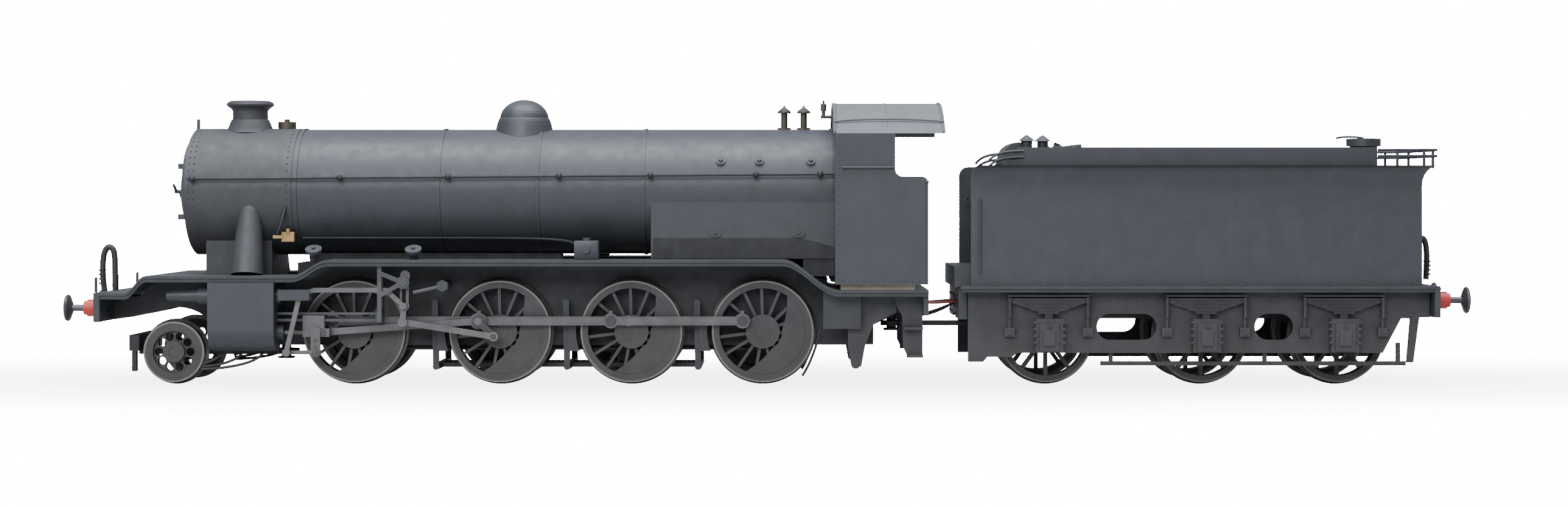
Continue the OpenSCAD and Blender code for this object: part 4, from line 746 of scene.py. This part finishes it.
# ---- Tank fittings and rear hose ----
# A hatch box, a round hood across the front and a handle on the tank's top;
# boards and handwheel columns at its front; the hose at the back.
parts = [bar((90.9, -3.2, 39.4), (100.8, 3.2, 43.1), 0.4)]
parts.append(cyl((46.0, 0, 41.0), 3.05, 12, "Y", 32))
parts.append(tube([(105.6, 1.4, 44.9), (107.0, 0, 45.4), (110.0, -1.4, 44.9)], 0.2, 2))
done(smooth(join(parts)), "tank_top_fittings", M["body"], "tender")
parts = []
for s in (-1, 1):
    parts.append(bar((41.0, s * 9.0 - 1.6, 21.4), (41.6, s * 9.0 + 1.6, 33.0), 0.1))
    parts.append(cyl((38.6, s * 11.2, 27.5), 0.3, 12, "Z", 10))
    parts.append(cyl((38.6, s * 11.2, 33.6), 1.2, 0.5, "Z", 16))
done(join(parts), "tender_front_handles", M["bar"], "tender")
parts = [tube([(121.0, 4.2, 12.6), (121.1, 4.2, 18), (121.2, 4.2, 24), (121.8, 4.2, 26.6),
               (122.9, 4.2, 26.2), (123.2, 4.2, 23), (122.9, 4.2, 18.6)], 0.55)]
for z in (19.6, 20.4, 21.2, 22.0):
    parts.append(cyl((123.15, 4.2, z), 0.68, 0.3, "Z", 14))
done(smooth(join(parts)), "tender_hose", M["frame"], "tender")

# ---- Tender springs, axlebox details and tank rivets ----
# Leaf springs with hangers and small blocks and bolts round each axlebox, one
# piece; a thin edge on the rear beam; a row of rivets along the tank's foot.
LEAF_STEP = 0.62
parts = []
for s in (-1, 1):
    for x in tender_x:
        parts.append(bar((x - 1.1, s * 16.55 - 0.15, 7.4), (x + 1.1, s * 16.55 + 0.15, 10.2), 0.1))
        parts.append(cyl((x, s * 16.75, 11.0), 0.3, 0.3, "Y", 6))
        for k in range(5):
            w = 6.9 - 1.25 * k
            parts.append(bar((x - w, s * 15.15 - 0.08, 15.55 - LEAF_STEP * k),
                             (x + w, s * 15.15 + 0.08, 15.75 - LEAF_STEP * k)))
        parts.append(bar((x - 7.4, s * 15.3 - 0.2, 16.15), (x + 7.4, s * 15.3 + 0.2, 16.5), 0.05))
        for e in (-7, 7):
            parts.append(cyl((x + e, s * 15.0, 9.7), 0.4, 0.3, "Y", 6))
            parts.append(cyl((x + e, s * 15.3, 14.2), 0.35, 3.6, "Z", 8))
        for e in (-2.5, 2.5):
            for z in (8.0, 9.2, 10.4, 11.6):
                parts.append(bar((x + e - 0.35, s * 15.9 - 0.3, z - 0.2),
                                 (x + e + 0.35, s * 15.9 + 0.3, z + 0.2)))
done(join(parts), "axlebox_details", M["tframe"], "tender")
o = bar((119.9, -16.9, 17.4), (120.35, 16.9, 17.8))
done(o, "tender_beam_edge", M["tframe"], "tender")
row = [(41.5 + 7.4 * k, s * 15.42, 18.9) for s in (-1, 1) for k in range(11)]
rivets("tank_rivets", row, 0.14, M["body"], "tender")

# ---- Coal ----
# Broken lumps over the coal space. Each is a small many-sided solid with its
# corners moved by a seeded amount, all joined in one piece.
rnd = random.Random(7)
lumps = []
for k in range(150):
    x = rnd.uniform(51.5, 92)
    y = rnd.uniform(-11.2, 11.2)
    high = 40.3 + 2.6 * math.exp(-((x - 54) / 7.5) ** 2) * math.exp(-(y / 9) ** 2)
    size = rnd.uniform(0.8, 1.9)
    bpy.ops.mesh.primitive_ico_sphere_add(subdivisions=1, radius=size * MM,
                                          location=(x * MM, y * MM, high * MM))
    o = bpy.context.object
    for v in o.data.vertices:
        v.co *= rnd.uniform(0.72, 1.25)
    o.rotation_euler = [rnd.uniform(0, 3) for _ in range(3)]
    o.scale = [rnd.uniform(0.8, 1.2) for _ in range(3)]
    lumps.append(o)
done(join(lumps), "coal_lumps", M["coal"], "tender")
